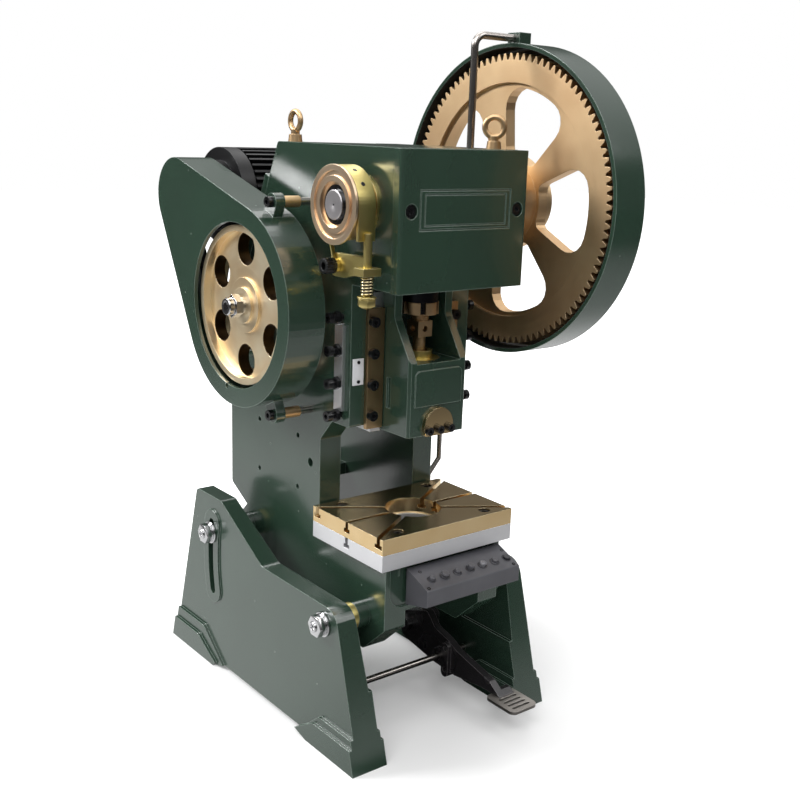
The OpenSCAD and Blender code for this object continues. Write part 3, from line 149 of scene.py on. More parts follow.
def add_node(tree: Tree, kind: str, **values: object) -> Node:
    """Add a shader node and fill it in.

    Args:
        tree: The node tree that gets the node.
        kind: The node's type name without "ShaderNode".
        values: Attributes of the node by name; "in_" and a socket's number or name with
            underscores sets or links that input.

    Returns:
        The new node.
    """
    node = tree.nodes.new("ShaderNode" + kind)
    for name, value in values.items():
        if not name.startswith("in_"):
            setattr(node, name, value)
    for name, value in values.items():
        if name.startswith("in_"):
            key = name[3:]
            socket = node.inputs[int(key)] if key.isdigit() else node.inputs[key.replace("_", " ")]
            if isinstance(value, Socket):
                tree.links.new(value, socket)
            else:
                socket.default_value = value
    return node


def emptied_tree(owner: bpy.types.ID) -> Tree:
    """Return the node tree of a material or world, with no nodes in it yet."""
    owner.use_nodes = True
    owner.node_tree.nodes.clear()
    return owner.node_tree


def maths(
    tree: Tree, operation: str, *values: object, kind: str = "Math", clamp: bool = False
) -> Socket:
    """Add a Math or Vector Math node and return its result.

    Args:
        tree: The node tree that gets the node.
        operation: What the node works out.
        values: A number, vector or socket for each input.
        kind: "Math" or "VectorMath".
        clamp: Whether a number stays within 0 and 1.

    Returns:
        The socket with the number or vector that comes out.
    """
    inputs = {f"in_{i}": value for i, value in enumerate(values)}
    node = add_node(tree, kind, operation=operation, **inputs)
    if clamp:
        node.use_clamp = True
    return node.outputs["Value" if operation in ("LENGTH", "DOT_PRODUCT") else 0]


def ranged(tree: Tree, value: Socket, low: float, high: float) -> Socket:
    """Spread a 0 to 1 value over low to high; 0 to 1 itself passes it on."""
    if (low, high) == (0.0, 1.0):
        return value
    return add_node(tree, "MapRange", in_Value=value, in_3=low, in_4=high).outputs[0]


@dataclass(frozen=True)
class Fade:
    """A smooth change from one level to another while a value goes between two ends.

    Attributes:
        start: The value where it starts.
        end: The value where it is done.
        first: The level before the start.
        last: The level past the end.
    """

    start: float
    end: float
    first: float = 0.0
    last: float = 1.0

    def on(self, tree: Tree, value: Socket) -> Socket:
        """Return the level for a value's socket."""
        node = add_node(
            tree, "MapRange", interpolation_type="SMOOTHSTEP", in_Value=value,
            in_1=self.start, in_2=self.end, in_3=self.first, in_4=self.last,
        )
        return node.outputs[0]


def mixed(tree: Tree, share: Socket, low: object, high: object) -> Socket:
    """Mix two numbers by a share and return the socket."""
    return add_node(tree, "Mix", data_type="FLOAT", in_Factor=share, in_A=low, in_B=high).outputs[0]


def blended(tree: Tree, mask: Socket, low: object, high: Colour) -> Socket:
    """Mix two colours by a mask and return the socket."""
    return add_node(tree, "Mix", data_type="RGBA", in_0=mask, in_6=low, in_7=high).outputs[2]


def round_x(tree: Tree, centre: object) -> tuple[Socket, Socket]:
    """Return a point's offset from a centre and its distance from the line along X there."""
    place = add_node(tree, "TexCoord").outputs["Object"]
    arm = maths(tree, "SUBTRACT", place, centre, kind="VectorMath")
    flat = maths(tree, "MULTIPLY", arm, (0.0, 1.0, 1.0), kind="VectorMath")
    return arm, maths(tree, "LENGTH", flat, kind="VectorMath")


class Group:
    """Builds one named node group with typed sockets."""

    def __init__(self, name: str) -> None:
        """Start an empty group called name."""
        self.tree = bpy.data.node_groups.new(name, "ShaderNodeTree")
        self.entry = self.tree.nodes.new("NodeGroupInput")
        self.exit = self.tree.nodes.new("NodeGroupOutput")

    def takes(self, name: str, value: object, kind: str = "NodeSocketFloat") -> Socket:
        """Add an input with a default and return the socket that gives it inside."""
        socket = self.tree.interface.new_socket(name, in_out="INPUT", socket_type=kind)
        socket.default_value = value
        return self.entry.outputs[name]

    def gives(self, name: str, source: Socket, kind: str = "NodeSocketFloat") -> None:
        """Add an output that carries a socket from inside the group."""
        self.tree.interface.new_socket(name, in_out="OUTPUT", socket_type=kind)
        self.tree.links.new(source, self.exit.inputs[name])

    def node(self, kind: str, **values: object) -> Node:
        """Add a node as add_node does."""
        return add_node(self.tree, kind, **values)

    def pattern(self, kind: str, size: Socket, **values: float) -> Node:
        """Add a texture on object coordinates with cells of the size that a socket gives."""
        place = self.node("TexCoord").outputs["Object"]
        scale = maths(self.tree, "DIVIDE", 1.0, size)
        return self.node(kind, in_Vector=place, in_Scale=scale, **values)


def soft_edge_group() -> Tree:
    """Rounded normals at sharp edges, and a mask that is 1 along them, where the finishes lay a
    painted highlight.

    Returns:
        The group's node tree.
    """
    group = Group("soft_edge")
    radius = group.takes("Radius", 0.3 * MM)
    gain = group.takes("Gain", 4.0)
    bevel = group.node("Bevel", samples=4, in_Radius=radius).outputs["Normal"]
    face = group.node("NewGeometry").outputs["Normal"]
    match = maths(group.tree, "DOT_PRODUCT", bevel, face, kind="VectorMath")
    turn = maths(group.tree, "SUBTRACT", 1.0, match)
    group.gives("Mask", maths(group.tree, "MULTIPLY", turn, gain, clamp=True))
    group.gives("Normal", bevel, "NodeSocketVector")
    return group.tree


def grain_group() -> Tree:
    """Fine even grain, as on blasted metal, cast iron or moulded plastic.

    Returns:
        The group's node tree.
    """
    group = Group("fine_grain")
    size = group.takes("Grain Size", 0.4 * MM)
    noise = group.pattern("TexNoise", size, in_Detail=3.0, in_Roughness=0.6)
    group.gives("Height", noise.outputs["Fac"])
    return group.tree


def cloud_group() -> Tree:
    """Broad soft patches, for handling marks and uneven colour.

    Returns:
        The group's node tree.
    """
    group = Group("soft_patches")
    size = group.takes("Patch Size", 20.0 * MM)
    noise = group.pattern("TexNoise", size, in_Detail=2.0, in_Roughness=0.5)
    spread = group.node("MapRange", in_Value=noise.outputs["Fac"], in_1=0.32, in_2=0.68)
    group.gives("Mask", spread.outputs[0])
    return group.tree


def turned_group() -> Tree:
    """Fine rings round an axis along X, as a lathe leaves them.

    Returns:
        The group's node tree.
    """
    group = Group("turned_rings")
    centre = group.takes("Centre", (0.0, 0.0, 0.0), "NodeSocketVector")
    pitch = group.takes("Pitch", 0.25 * MM)
    arm, radius = round_x(group.tree, centre)
    depth = group.node("SeparateXYZ", in_0=arm).outputs[0]
    step, reach = (maths(group.tree, "DIVIDE", length, pitch) for length in (depth, radius))
    point = group.node("CombineXYZ", in_0=step, in_1=reach).outputs[0]
    noise = group.node("TexNoise", in_Vector=point, in_Scale=1.0, in_Detail=2.0)
    group.gives("Height", noise.outputs["Fac"])
    return group.tree


def milled_group() -> Tree:
    """Long straight tool marks; Stretch shortens the pattern across them.

    Returns:
        The group's node tree.
    """
    group = Group("milled_lines")
    stretch = group.takes("Stretch", (1.0, 40.0, 40.0), "NodeSocketVector")
    place = group.node("TexCoord").outputs["Object"]
    drawn = maths(group.tree, "MULTIPLY", place, stretch, kind="VectorMath")
    noise = group.node(
        "TexNoise", in_Vector=drawn, in_Scale=100.0, in_Detail=3.0, in_Roughness=0.65
    )
    group.gives("Height", noise.outputs["Fac"])
    return group.tree


def flecks_group() -> Tree:
    """Sparse pale specks of dust or paint inclusions.

    Returns:
        The group's node tree.
    """
    group = Group("paint_flecks")
    cells = group.pattern("TexVoronoi", group.takes("Spacing", 6.0 * MM), in_Randomness=1.0)
    near = group.node(
        "MapRange", in_Value=cells.outputs["Distance"], in_1=0.02, in_2=0.045, in_3=1.0, in_4=0.0
    )
    group.gives("Mask", near.outputs[0])
    return group.tree


@cache
def shared_group(name: str) -> Tree:
    """Find a group that the finishes share, made the first time it is asked for.

    Args:
        name: The group's short name.

    Returns:
        The group's node tree.
    """
    makers = {
        "edge": soft_edge_group,
        "grain": grain_group,
        "cloud": cloud_group,
        "turned": turned_group,
        "milled": milled_group,
        "flecks": flecks_group,
    }
    return makers[name]()


# ---------- finishes ----------


class Marks(Enum):
    """What a tool left on a metal surface."""

    BLASTED = "grain"
    TURNED = "turned"
    MILLED = "milled"


@dataclass(frozen=True)
class Finish:
    """The common part of every finish: a material with a Principled shader.

    Colours are screen codes and lengths are in mm.

    Attributes:
        name: The material's name.
        colour: The base colour.
        roughness: The mean roughness.
        edge: The radius that light sees at sharp edges.
    """

    name: str
    colour: str
    roughness: float = 0.4
    edge: float = 0.25

    @cache
    def material(self) -> bpy.types.Material:
        """Make the finish a material the first time it is asked for.

        Returns:
            The material.
        """
        made = bpy.data.materials.new(self.name)
        made.diffuse_color = base = srgb(self.colour)
        tree = emptied_tree(made)
        shader = add_node(tree, "BsdfPrincipled", in_Base_Color=base, in_Roughness=self.roughness)
        add_node(tree, "OutputMaterial", in_Surface=shader.outputs["BSDF"])
        self.build(tree, shader)
        return made

    def build(self, tree: Tree, shader: Node) -> None:
        """Add the finish's own nodes to a new material."""
        raise NotImplementedError

    def group(self, tree: Tree, name: str, **values: object) -> Node:
        """Place a shared group in the material with its own values."""
        node = add_node(tree, "Group", node_tree=shared_group(name))
        for key, value in values.items():
            node.inputs[key.replace("_", " ").title()].default_value = value
        return node

    def worn(
        self, tree: Tree, patch: tuple[float, Colour, float], rub_and_highlight: tuple[float, Colour, float]
    ) -> tuple[Socket, Socket, Socket]:
        """Lay soft patches, and a painted highlight along edges, over the base colour; on metal the
        highlight also stands for rubbed wear.

        Args:
            tree: The material's node tree.
            patch: The patches' size, colour and largest share.
            rub_and_highlight: The gain, colour and largest share of the painted edge highlight,
                which on metal also stands for rubbed wear.

        Returns:
            The colour, the mask of the patches, and the normal with soft edges.
        """
        edge = self.group(tree, "edge", radius=self.edge * MM, gain=rub_and_highlight[0])
        patches = self.group(tree, "cloud", patch_size=patch[0] * MM).outputs["Mask"]
        colour = blended(tree, ranged(tree, patches, 0.0, patch[2]), srgb(self.colour), patch[1])
        # Painted highlight along every edge; on metal it also stands for edges rubbed bright.
        colour = blended(tree, ranged(tree, edge.outputs["Mask"], 0.0, rub_and_highlight[2]), colour, rub_and_highlight[1])
        return colour, patches, edge.outputs["Normal"]

    def fit(
        self,
        tree: Tree,
        shader: Node,
        colour: Socket,
        swing: tuple[Socket, float, float],
        relief: tuple[Socket, float, Socket],
    ) -> None:
        """Link a colour, a roughness and a bumped normal to the shader.

        Args:
            tree: The material's node tree.
            shader: The Principled shader.
            colour: What feeds the base colour.
            swing: The mask that roughness follows, and its lowest and highest share.
            relief: The bump's height, its depth, and the normal under it.
        """
        height, depth, normal = relief
        bump = add_node(
            tree, "Bump", in_Strength=1.0, in_Distance=depth * MM, in_Height=height,
            in_Normal=normal,
        )
        rough = ranged(tree, swing[0], self.roughness * swing[1], self.roughness * swing[2])
        sources = {"Base Color": colour, "Roughness": rough, "Normal": bump.outputs["Normal"]}
        for name, source in sources.items():
            tree.links.new(source, shader.inputs[name])


@dataclass(frozen=True)
class Enamel(Finish):
    """Sprayed gloss enamel: a slight orange peel, soft edges with a pale painted highlight along
    them, and a few pale flecks.

    Attributes:
        edge_highlight: The colour of the painted highlight along an edge.
        gloss_ior: How strongly the clear gloss on top mirrors its surroundings.
        peel: The height of the orange peel.
    """

    edge_highlight: str = "93a59a"
    gloss_ior: float = 1.8
    peel: float = 0.02

    def build(self, tree: Tree, shader: Node) -> None:
        """Add paint colour, a painted highlight along edges, flecks and orange peel.

        Args:
            tree: The material's node tree.
            shader: The Principled shader.
        """
        # The pale edge colour is a painted highlight along every edge.
        paint, patches, normal = self.worn(
            tree, (26.0, shaded(self.colour, 0.9), 1.0), (5.0, srgb(self.edge_highlight), 0.75)
        )
        flecks = self.group(tree, "flecks", spacing=9.0 * MM).outputs["Mask"]
        paint = blended(tree, ranged(tree, flecks, 0.0, 0.35), paint, srgb("b9c2bb"))
        peel = self.group(tree, "grain", grain_size=1.6 * MM).outputs["Height"]
        self.fit(tree, shader, paint, (patches, 0.85, 1.2), (peel, self.peel, normal))
        shader.inputs["IOR"].default_value = self.gloss_ior


@dataclass(frozen=True)
class ShadedInsideEnamel(Enamel):
    """Gloss enamel outside with matt black painted shade inside round openings along X.

    Attributes:
        openings: The centre and the radius of each opening.
        lining: The painted shade inside, as linear light.
        lining_roughness: The roughness inside.
    """

    openings: tuple[tuple[Point, float], ...] = ()
    lining: Colour = (0.006, 0.007, 0.006, 1.0)
    lining_roughness: float = 0.6

    def build(self, tree: Tree, shader: Node) -> None:
        """Add the enamel, then the painted shade wherever a point is inside an opening.

        Args:
            tree: The material's node tree.
            shader: The Principled shader.
        """
        super().build(tree, shader)
        near = [
            maths(tree, "LESS_THAN", round_x(tree, centre)[1], radius * MM)
            for centre, radius in self.openings
        ]
        inside = near[0]
        for other in near[1:]:
            inside = maths(tree, "MAXIMUM", inside, other)
        base, rough = shader.inputs["Base Color"], shader.inputs["Roughness"]
        # Painted shade: black inside the openings.
        colour = blended(tree, inside, base.links[0].from_socket, self.lining)
        level = mixed(tree, inside, rough.links[0].from_socket, self.lining_roughness)
        tree.links.new(colour, base)
        tree.links.new(level, rough)


@dataclass(frozen=True)
class Metal(Finish):
    """Bare metal with the marks of its last tool, brighter along its edges, partly rubbed and
    partly a painted highlight.

    Attributes:
        tint: The colour that the broad patches drift towards.
        edge_rub_and_highlight: The colour along edges, where they are rubbed bright and carry a
            painted highlight.
        marks: What tool made the surface.
        depth: The height of the marks.
        pitch: The spacing of the marks or grains.
        centre: The axis that turned rings go round.
        stretch: How the milled lines run.
        spread: How far roughness swings either way, as a share.
    """

    tint: str = "bcbcbc"
    edge_rub_and_highlight: str = "ffffff"
    marks: Marks = Marks.BLASTED
    depth: float = 0.006
    pitch: float = 0.3
    centre: Point = (0.0, 0.0, 0.0)
    stretch: Point = (1.0, 40.0, 40.0)
    spread: float = 0.25

    def build(self, tree: Tree, shader: Node) -> None:
        """Add tool marks, patches of tint, and edges rubbed bright with a painted highlight.

        Args:
            tree: The material's node tree.
            shader: The Principled shader.
        """
        # Edges: rubbed bright, with a painted highlight on top.
        metal, _, normal = self.worn(
            tree, (14.0, srgb(self.tint), 0.55), (3.0, srgb(self.edge_rub_and_highlight), 0.7)
        )
        settings = {
            Marks.TURNED: {"centre": self.centre, "pitch": self.pitch * MM},
            Marks.MILLED: {"stretch": self.stretch},
            Marks.BLASTED: {"grain_size": self.pitch * MM},
        }
        height = self.group(tree, self.marks.value, **settings[self.marks]).outputs["Height"]
        swing = (height, 1.0 - self.spread, 1.0 + self.spread)
        self.fit(tree, shader, metal, swing, (height, self.depth, normal))
        shader.inputs["Metallic"].default_value = 1.0


@dataclass(frozen=True)
class Moulded(Finish):
    """Plastic, rubber or thin black paint with an even grain and slightly paler edges, a painted
    highlight.

    Attributes:
        edge_highlight: The colour of the painted highlight along edges.
        grain: The size of the surface grain.
        depth: The height of the grain.
    """

    edge_highlight: str = "959595"
    grain: float = 0.35
    depth: float = 0.01

    def build(self, tree: Tree, shader: Node) -> None:
        """Add grain, handling patches and a pale painted highlight along edges.

        Args:
            tree: The material's node tree.
            shader: The Principled shader.
        """
        # The pale edge colour is a painted highlight along edges.
        body, _, normal = self.worn(
            tree, (9.0, shaded(self.colour, 0.82), 1.0), (3.0, srgb(self.edge_highlight), 0.6)
        )
        grain = self.group(tree, "grain", grain_size=self.grain * MM).outputs["Height"]
        self.fit(tree, shader, body, (grain, 0.85, 1.15), (grain, self.depth, normal))


# Axes that the turned parts share
CRANK_AXIS = tuple(centre_of("bull_gear"))
SHAFT_AXIS = tuple(centre_of("flywheel"))
SHAFT_END = tuple(centre_of("pinion"))

GREEN_ENAMEL = Enamel(
    "sprayed_green_enamel", "2a3e32", roughness=0.19, edge=0.4, edge_highlight="93a59a"
)
GREEN_ENAMEL_SHADED_INSIDE = ShadedInsideEnamel(
    "lined_green_enamel", "2a3e32", roughness=0.19, edge=0.4, edge_highlight="93a59a",
    openings=((CRANK_AXIS, 53.9), (SHAFT_END, 12.2)),
)
BLACK_ENAMEL = Enamel(
    "motor_black_enamel", "0c0c0e", roughness=0.45, edge=0.25, edge_highlight="3c3c42",
    gloss_ior=1.4, peel=0.015,
)
LEVER_BLACK = Enamel(
    "lever_black_enamel", "242224", roughness=0.24, edge=0.4, edge_highlight="8b8688",
    gloss_ior=1.7, peel=0.01,
)
BLACK_OXIDE = Moulded(
    "blackened_screw_steel", "0f0f11", roughness=0.27, edge=0.12, edge_highlight="5d5d62",
    depth=0.003,
)
PALE_GOLD = Metal(
    "milled_bolster_brass", "e4ca9c", roughness=0.2, tint="d6b681", edge_rub_and_highlight="f8ebc8",
    marks=Marks.MILLED, stretch=(0.4, 50.0, 50.0), depth=0.0008, edge=0.2, spread=0.1,
)
GEAR_BRASS = Metal(
    "turned_gear_brass", "e6c79c", roughness=0.48, tint="cda77e", edge_rub_and_highlight="f5e2bd",
    marks=Marks.TURNED, centre=CRANK_AXIS, pitch=0.22,
)
DRUM_BRASS = Metal(
    "turned_drum_brass", "f8dfc0", roughness=0.38, tint="dfb894", edge_rub_and_highlight="f6e4c6",
    marks=Marks.TURNED, centre=CRANK_AXIS, pitch=0.3, depth=0.01,
)
WHEEL_BRASS = Metal(
    "turned_wheel_brass", "fff0d0", roughness=0.46, tint="deba86", edge_rub_and_highlight="fff4d8",
    marks=Marks.TURNED, centre=SHAFT_AXIS, pitch=0.22,
)
# Dark brown brass inside the flywheel's holes: painted shade.
SHADED_BORE_BRASS = Metal(
    "bore_brass_painted_shade", "5a432a", roughness=0.42, tint="40301e", edge_rub_and_highlight="8e6e46",
    pitch=0.3, depth=0.004, edge=0.15,
)
YELLOW_BRASS = Metal(
    "yellow_brass", "ead88f", roughness=0.38, tint="dcc67c", edge_rub_and_highlight="fbf3cc",
    pitch=0.5, depth=0.004, edge=0.2,
)
STRIP_BRASS = Metal(
    "drawn_strip_brass", "d8b990", roughness=0.42, tint="b9976e", edge_rub_and_highlight="ecd9b4",
    marks=Marks.MILLED, stretch=(30.0, 30.0, 3.0), depth=0.005, edge=0.2,
)
STEEL = Metal(
    "turned_steel", "c9c9cb", roughness=0.22, tint="aaaaae", edge_rub_and_highlight="f2f2f2",
    marks=Marks.TURNED, centre=CRANK_AXIS, pitch=0.3, depth=0.003, edge=0.15,
)
BOLT_STEEL = Metal(
    "polished_bolt_steel", "cfcfd0", roughness=0.16, tint="b4b4b7", edge_rub_and_highlight="ffffff",
    pitch=0.5, depth=0.003, edge=0.2,
)
ROD_STEEL = Metal(
    "drawn_rod_steel", "b9b3ae", roughness=0.26, tint="9a9490", edge_rub_and_highlight="e2dedb",
    pitch=0.5, depth=0.001, edge=0.15, spread=0.1,
)
FACED_STEEL = Metal(
    "faced_steel", "dcd8da", roughness=0.42, tint="b4b0b3", edge_rub_and_highlight="ffffff",
    marks=Marks.TURNED, centre=CRANK_AXIS, pitch=0.35, depth=0.05, edge=0.12,
)
SPRING_STEEL = Metal(
    "spring_wire", "c0b28c", roughness=0.26, tint="9a8c66", edge_rub_and_highlight="ffffff",
    pitch=0.5, depth=0.001, edge=0.05,
)
ROD_FORGING = Metal(
    "dark_rod_forging", "37373b", roughness=0.4, tint="26262a", edge_rub_and_highlight="77777c",
    pitch=0.3, edge=0.2,
)
TREADLE_STEEL = Metal(
    "worn_treadle_steel", "b9b3ad", roughness=0.46, tint="8d8781", edge_rub_and_highlight="f4f1ee",
    pitch=0.3, edge=0.2,
)
WHITE_ALUMINIUM = Metal(
    "milled_aluminium", "fbfbfd", roughness=0.45, tint="eeeef2", edge_rub_and_highlight="ffffff",
    marks=Marks.MILLED, stretch=(0.5, 40.0, 40.0), depth=0.001, edge=0.2, spread=0.12,
)
WHITE_PLATE = Moulded(
    "anodised_white_plate", "dcdde0", roughness=0.35, edge=0.1, edge_highlight="ffffff",
    depth=0.002,
)
PALE_PLASTIC = Moulded(
    "pale_button_plastic", "77777c", roughness=0.28, edge=0.15, edge_highlight="d8d8dc",
    depth=0.003,
)
DARK_PLASTIC = Moulded(
    "dark_button_plastic", "313136", roughness=0.36, edge=0.15, edge_highlight="6a6a70",
    depth=0.004,
)
GREY_PLASTIC = Moulded(
    "moulded_grey_plastic", "535358", roughness=0.46, edge=0.3, edge_highlight="8e8e95"
)
BELT_RUBBER = Moulded(
    "smooth_belt_rubber", "1b1b1b", roughness=0.7, edge=0.1, edge_highlight="333333"
)


# ---------- modelling helpers ----------


def finished_mesh(
    bm: Mesh,
    name: str,
    body: str,
    finish: Finish,
    replaces: Sequence[str] = (),
) -> None:
    """Turn a bmesh into a piece that rides on a body.

    Args:
        bm: The modelled shape, in metres in the shared frame; it is freed here.
        name: The piece's name.
        body: The body that carries it.
        finish: What covers it.
        replaces: CAD nodes that the piece stands for.
    """
    bmesh.ops.remove_doubles(bm, verts=bm.verts, dist=WELD)
    bmesh.ops.recalc_face_normals(bm, faces=bm.faces)
    for face in bm.faces:
        face.smooth = True
    for edge in bm.edges:
        edge.smooth = len(edge.link_faces) == 2 and edge.calc_face_angle(0.0) < SMOOTH_LIMIT
    piece = linked_mesh(bm, name, finish.material())
    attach(piece, body)
    if replaces:
        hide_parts(*replaces)
    LOG.info("%s: %d faces on %s", name, len(piece.data.polygons), body)


def linked_mesh(bm: Mesh, name: str, material: bpy.types.Material) -> bpy.types.Object:
    """Make a bmesh an object of the scene.

    Args:
        bm: The modelled shape; it is freed here.
        name: The object's name.
        material: What covers it.

    Returns:
        The new object.
    """
    mesh = bpy.data.meshes.new(name)
    bm.to_mesh(mesh)
    bm.free()
    mesh.materials.append(material)
    made = bpy.data.objects.new(name, mesh)
    bpy.context.scene.collection.objects.link(made)
    return made


def lathe(bm: Mesh, profile: Profile, at: Vector, direction: Vector, steps: int = 32) -> None:
    """Spin a profile of (radius, height) points round a line and add it to a bmesh.

    Args:
        bm: The bmesh that gets the turned shape.
        profile: Points from the foot's middle to the top's middle, in mm.
        at: Where height 0 stands.
        direction: The way the heights go.
        steps: Segments in a full turn.
    """
    place = Matrix.Translation(at) @ pointing(direction)
    ring = [bm.verts.new(place @ Vector((r * MM, 0.0, h * MM))) for r, h in profile]
    edges = [bm.edges.new(pair) for pair in zip(ring, ring[1:])]
    bmesh.ops.spin(
        bm, geom=ring + edges, cent=at, axis=direction.normalized(), angle=FULL_TURN, steps=steps,
        use_merge=True, use_normal_flip=False,
    )
    bmesh.ops.remove_doubles(bm, verts=bm.verts, dist=WELD)


def turned(
    name: str,
    body: str,
    finish: Finish,
    turning: tuple[Profile, Vector, Vector, int],
    replaces: Sequence[str] = (),
) -> None:
    """Make a piece of one turned shape.

    Args:
        name: The piece's name.
        body: The body that carries it.
        finish: What covers it.
        turning: What lathe takes: the profile, the place, the direction and the steps.
        replaces: CAD nodes that the piece stands for.
    """
    bm = bmesh.new()
    lathe(bm, *turning)
    finished_mesh(bm, name, body, finish, replaces)


def tube(inner: float, outer: float, foot: float, top: float) -> Profile:
    """Return the closed profile of a plain tube, in mm."""
    return ((inner, foot), (outer, foot), (outer, top), (inner, top), (inner, foot))


def soften(bm: Mesh, verts: Iterable[bmesh.types.BMVert], radius: float) -> None:
    """Round all edges at some vertices by a radius in mm."""
    edges = list({e for v in verts for e in v.link_edges})
    bmesh.ops.bevel(
        bm, geom=edges, offset=radius * MM, segments=2, affect="EDGES", profile=0.5, material=-1
    )


def block(bm: Mesh, low: Vector, high: Vector, radius: float) -> None:
    """Add a box between two corners, its edges rounded by a radius in mm."""
    verts = bmesh.ops.create_cube(bm, size=1.0)["verts"]
    bmesh.ops.scale(bm, vec=high - low, verts=verts)
    bmesh.ops.translate(bm, vec=(low + high) / 2.0, verts=verts)
    soften(bm, verts, radius)


def hexagon(
    bm: Mesh, at: Vector, direction: Vector, radius: float, height: float, chamfer: float
) -> None:
    """Add a six-sided bar with softened edges.

    Args:
        bm: The bmesh that gets the bar.
        at: The middle of its foot.
        direction: The way it stands.
        radius: The radius of its corners in mm.
        height: Its height in mm.
        chamfer: The radius of its softened edges in mm.
    """
    place = Matrix.Translation(at) @ pointing(direction)
    shape = bmesh.ops.create_cone(
        bm, cap_ends=True, segments=6, radius1=radius * MM, radius2=radius * MM, depth=height * MM,
        matrix=place @ Matrix.Translation((0.0, 0.0, height * MM / 2.0)),
    )
    soften(bm, shape["verts"], chamfer)


def socket_head(bm: Mesh, at: Vector, direction: Vector, radius: float, height: float) -> None:
    """Add a small cap screw head with a socket, its seat at a point; sizes in mm."""
    shares = (
        (0.0, 0.0), (1.0, 0.0), (1.0, 0.82), (0.86, 1.0), (0.52, 1.0), (0.5, 0.45), (0.0, 0.4)
    )
    lathe(bm, tuple((radius * r, height * h) for r, h in shares), at, direction, 18)


def knurl(bm: Mesh, at: Vector, direction: Vector, radius: float, steps: int, depth: float) -> None:
    """Press straight grooves into the rim of a turned head.

    Args:
        bm: The bmesh that holds the head alone.
        at: The middle of the head's seat.
        direction: The way the head points.
        radius: The rim's radius in mm.
        steps: Segments in the head's full turn; every other one gets a groove.
        depth: How deep the grooves are, in mm.
    """
    place = Matrix.Translation(at) @ pointing(direction)
    inward = place.inverted()
    for vert in bm.verts:
        point = inward @ vert.co
        sector = round(math.atan2(point.y, point.x) / FULL_TURN * steps)
        if point.xy.length > radius * MM * RIM_SHARE and sector % 2:
            offset = vert.co - place @ Vector((0.0, 0.0, point.z))
            vert.co -= offset.normalized() * depth * MM


def helix(
    bm: Mesh,
    at: Vector,
    radius: float,
    wire: float,
    turns: float,
    pitch: float,
    steps: int = 24,
    sides: int = 8,
) -> None:
    """Add a coil of round wire that climbs from a point; sizes in mm.

    Args:
        bm: The bmesh that gets the coil.
        at: The point on the coil's axis where it starts.
        radius: The radius at the middle of the wire.
        wire: The wire's own radius.
        turns: How many turns it makes.
        pitch: The climb in one turn.
        steps: Sections in one turn.
        sides: Sides of the wire.
    """
    up = Axis.Z.vector
    start = at + Axis.X.vector * radius * MM
    place = Matrix.Translation(start) @ Matrix.Rotation(math.pi / 2, 4, "X")
    verts = bmesh.ops.create_circle(
        bm, cap_ends=True, radius=wire * MM, segments=sides, matrix=place
    )["verts"]
    faces = list({f for v in verts for f in v.link_faces})
    edges = list({e for v in verts for e in v.link_edges})
    sections = int(turns * steps)
    bmesh.ops.spin(
        bm, geom=faces + verts + edges, cent=at, axis=up, dvec=up * (pitch * MM / steps),
        angle=FULL_TURN * sections / steps, steps=sections, use_merge=False,
    )


def solid_boxes(node: str) -> list[tuple[Vector, Vector]]:
    """Find the separate solids of a CAD node.

    Args:
        node: The CAD node's name.

    Returns:
        The lowest and highest corner of each solid, from the left.
    """
    bm = bmesh.new()
    bm.from_mesh(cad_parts[node].data)
    bmesh.ops.remove_doubles(bm, verts=bm.verts, dist=10.0 * WELD)
    boxes = []
    waiting = set(bm.verts)
    while waiting:
        seeds, points = [waiting.pop()], []
        while seeds:
            vert = seeds.pop()
            points.append(vert.co.copy())
            near = {edge.other_vert(vert) for edge in vert.link_edges} & waiting
            waiting -= near
            seeds.extend(near)
        low, high = (Vector([end(p[i] for p in points) for i in range(3)]) for end in (min, max))
        boxes.append((low, high))
    bm.free()
    return sorted(boxes, key=lambda box: tuple(round(c, 5) for c in box[0]))


def outward(low: Vector, high: Vector) -> tuple[Vector, Vector, float]:
    """Find which way a box beside the press points along X.

    Args:
        low: The box's lowest corner.
        high: Its highest corner.

    Returns:
        The middle of its face towards the press, the way outwards, and its width in mm.
    """
    side = 1.0 if low.x > 0.0 else -1.0
    near, far = sorted((abs(low.x), abs(high.x)))
    middle = (low + high) / 2.0
    return along(side * near, tuple(middle)), Vector((side, 0.0, 0.0)), (far - near) / MM


# ---------- sub-assemblies ----------


@dataclass
class SubAssembly:
    """A group of CAD nodes with their finishes and the trim that goes on them.

    Attributes:
        finishes: The finish of each CAD node of the group.
    """

    finishes: ClassVar[dict[str, Finish]] = {}

    def build(self) -> None:
        """Model the trim, then give each CAD node of the group its finish."""
        self.trim()
        for node, finish in self.finishes.items():
            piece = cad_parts[node]
            material = finish.material()
            if not piece.data.materials:
                piece.data.materials.append(material)
            for slot in piece.material_slots:
                slot.material = material
            LOG.info("%s: %s", node, finish.name)

    def trim(self) -> None:
        """Model the pieces that CAD leaves out; none by default."""


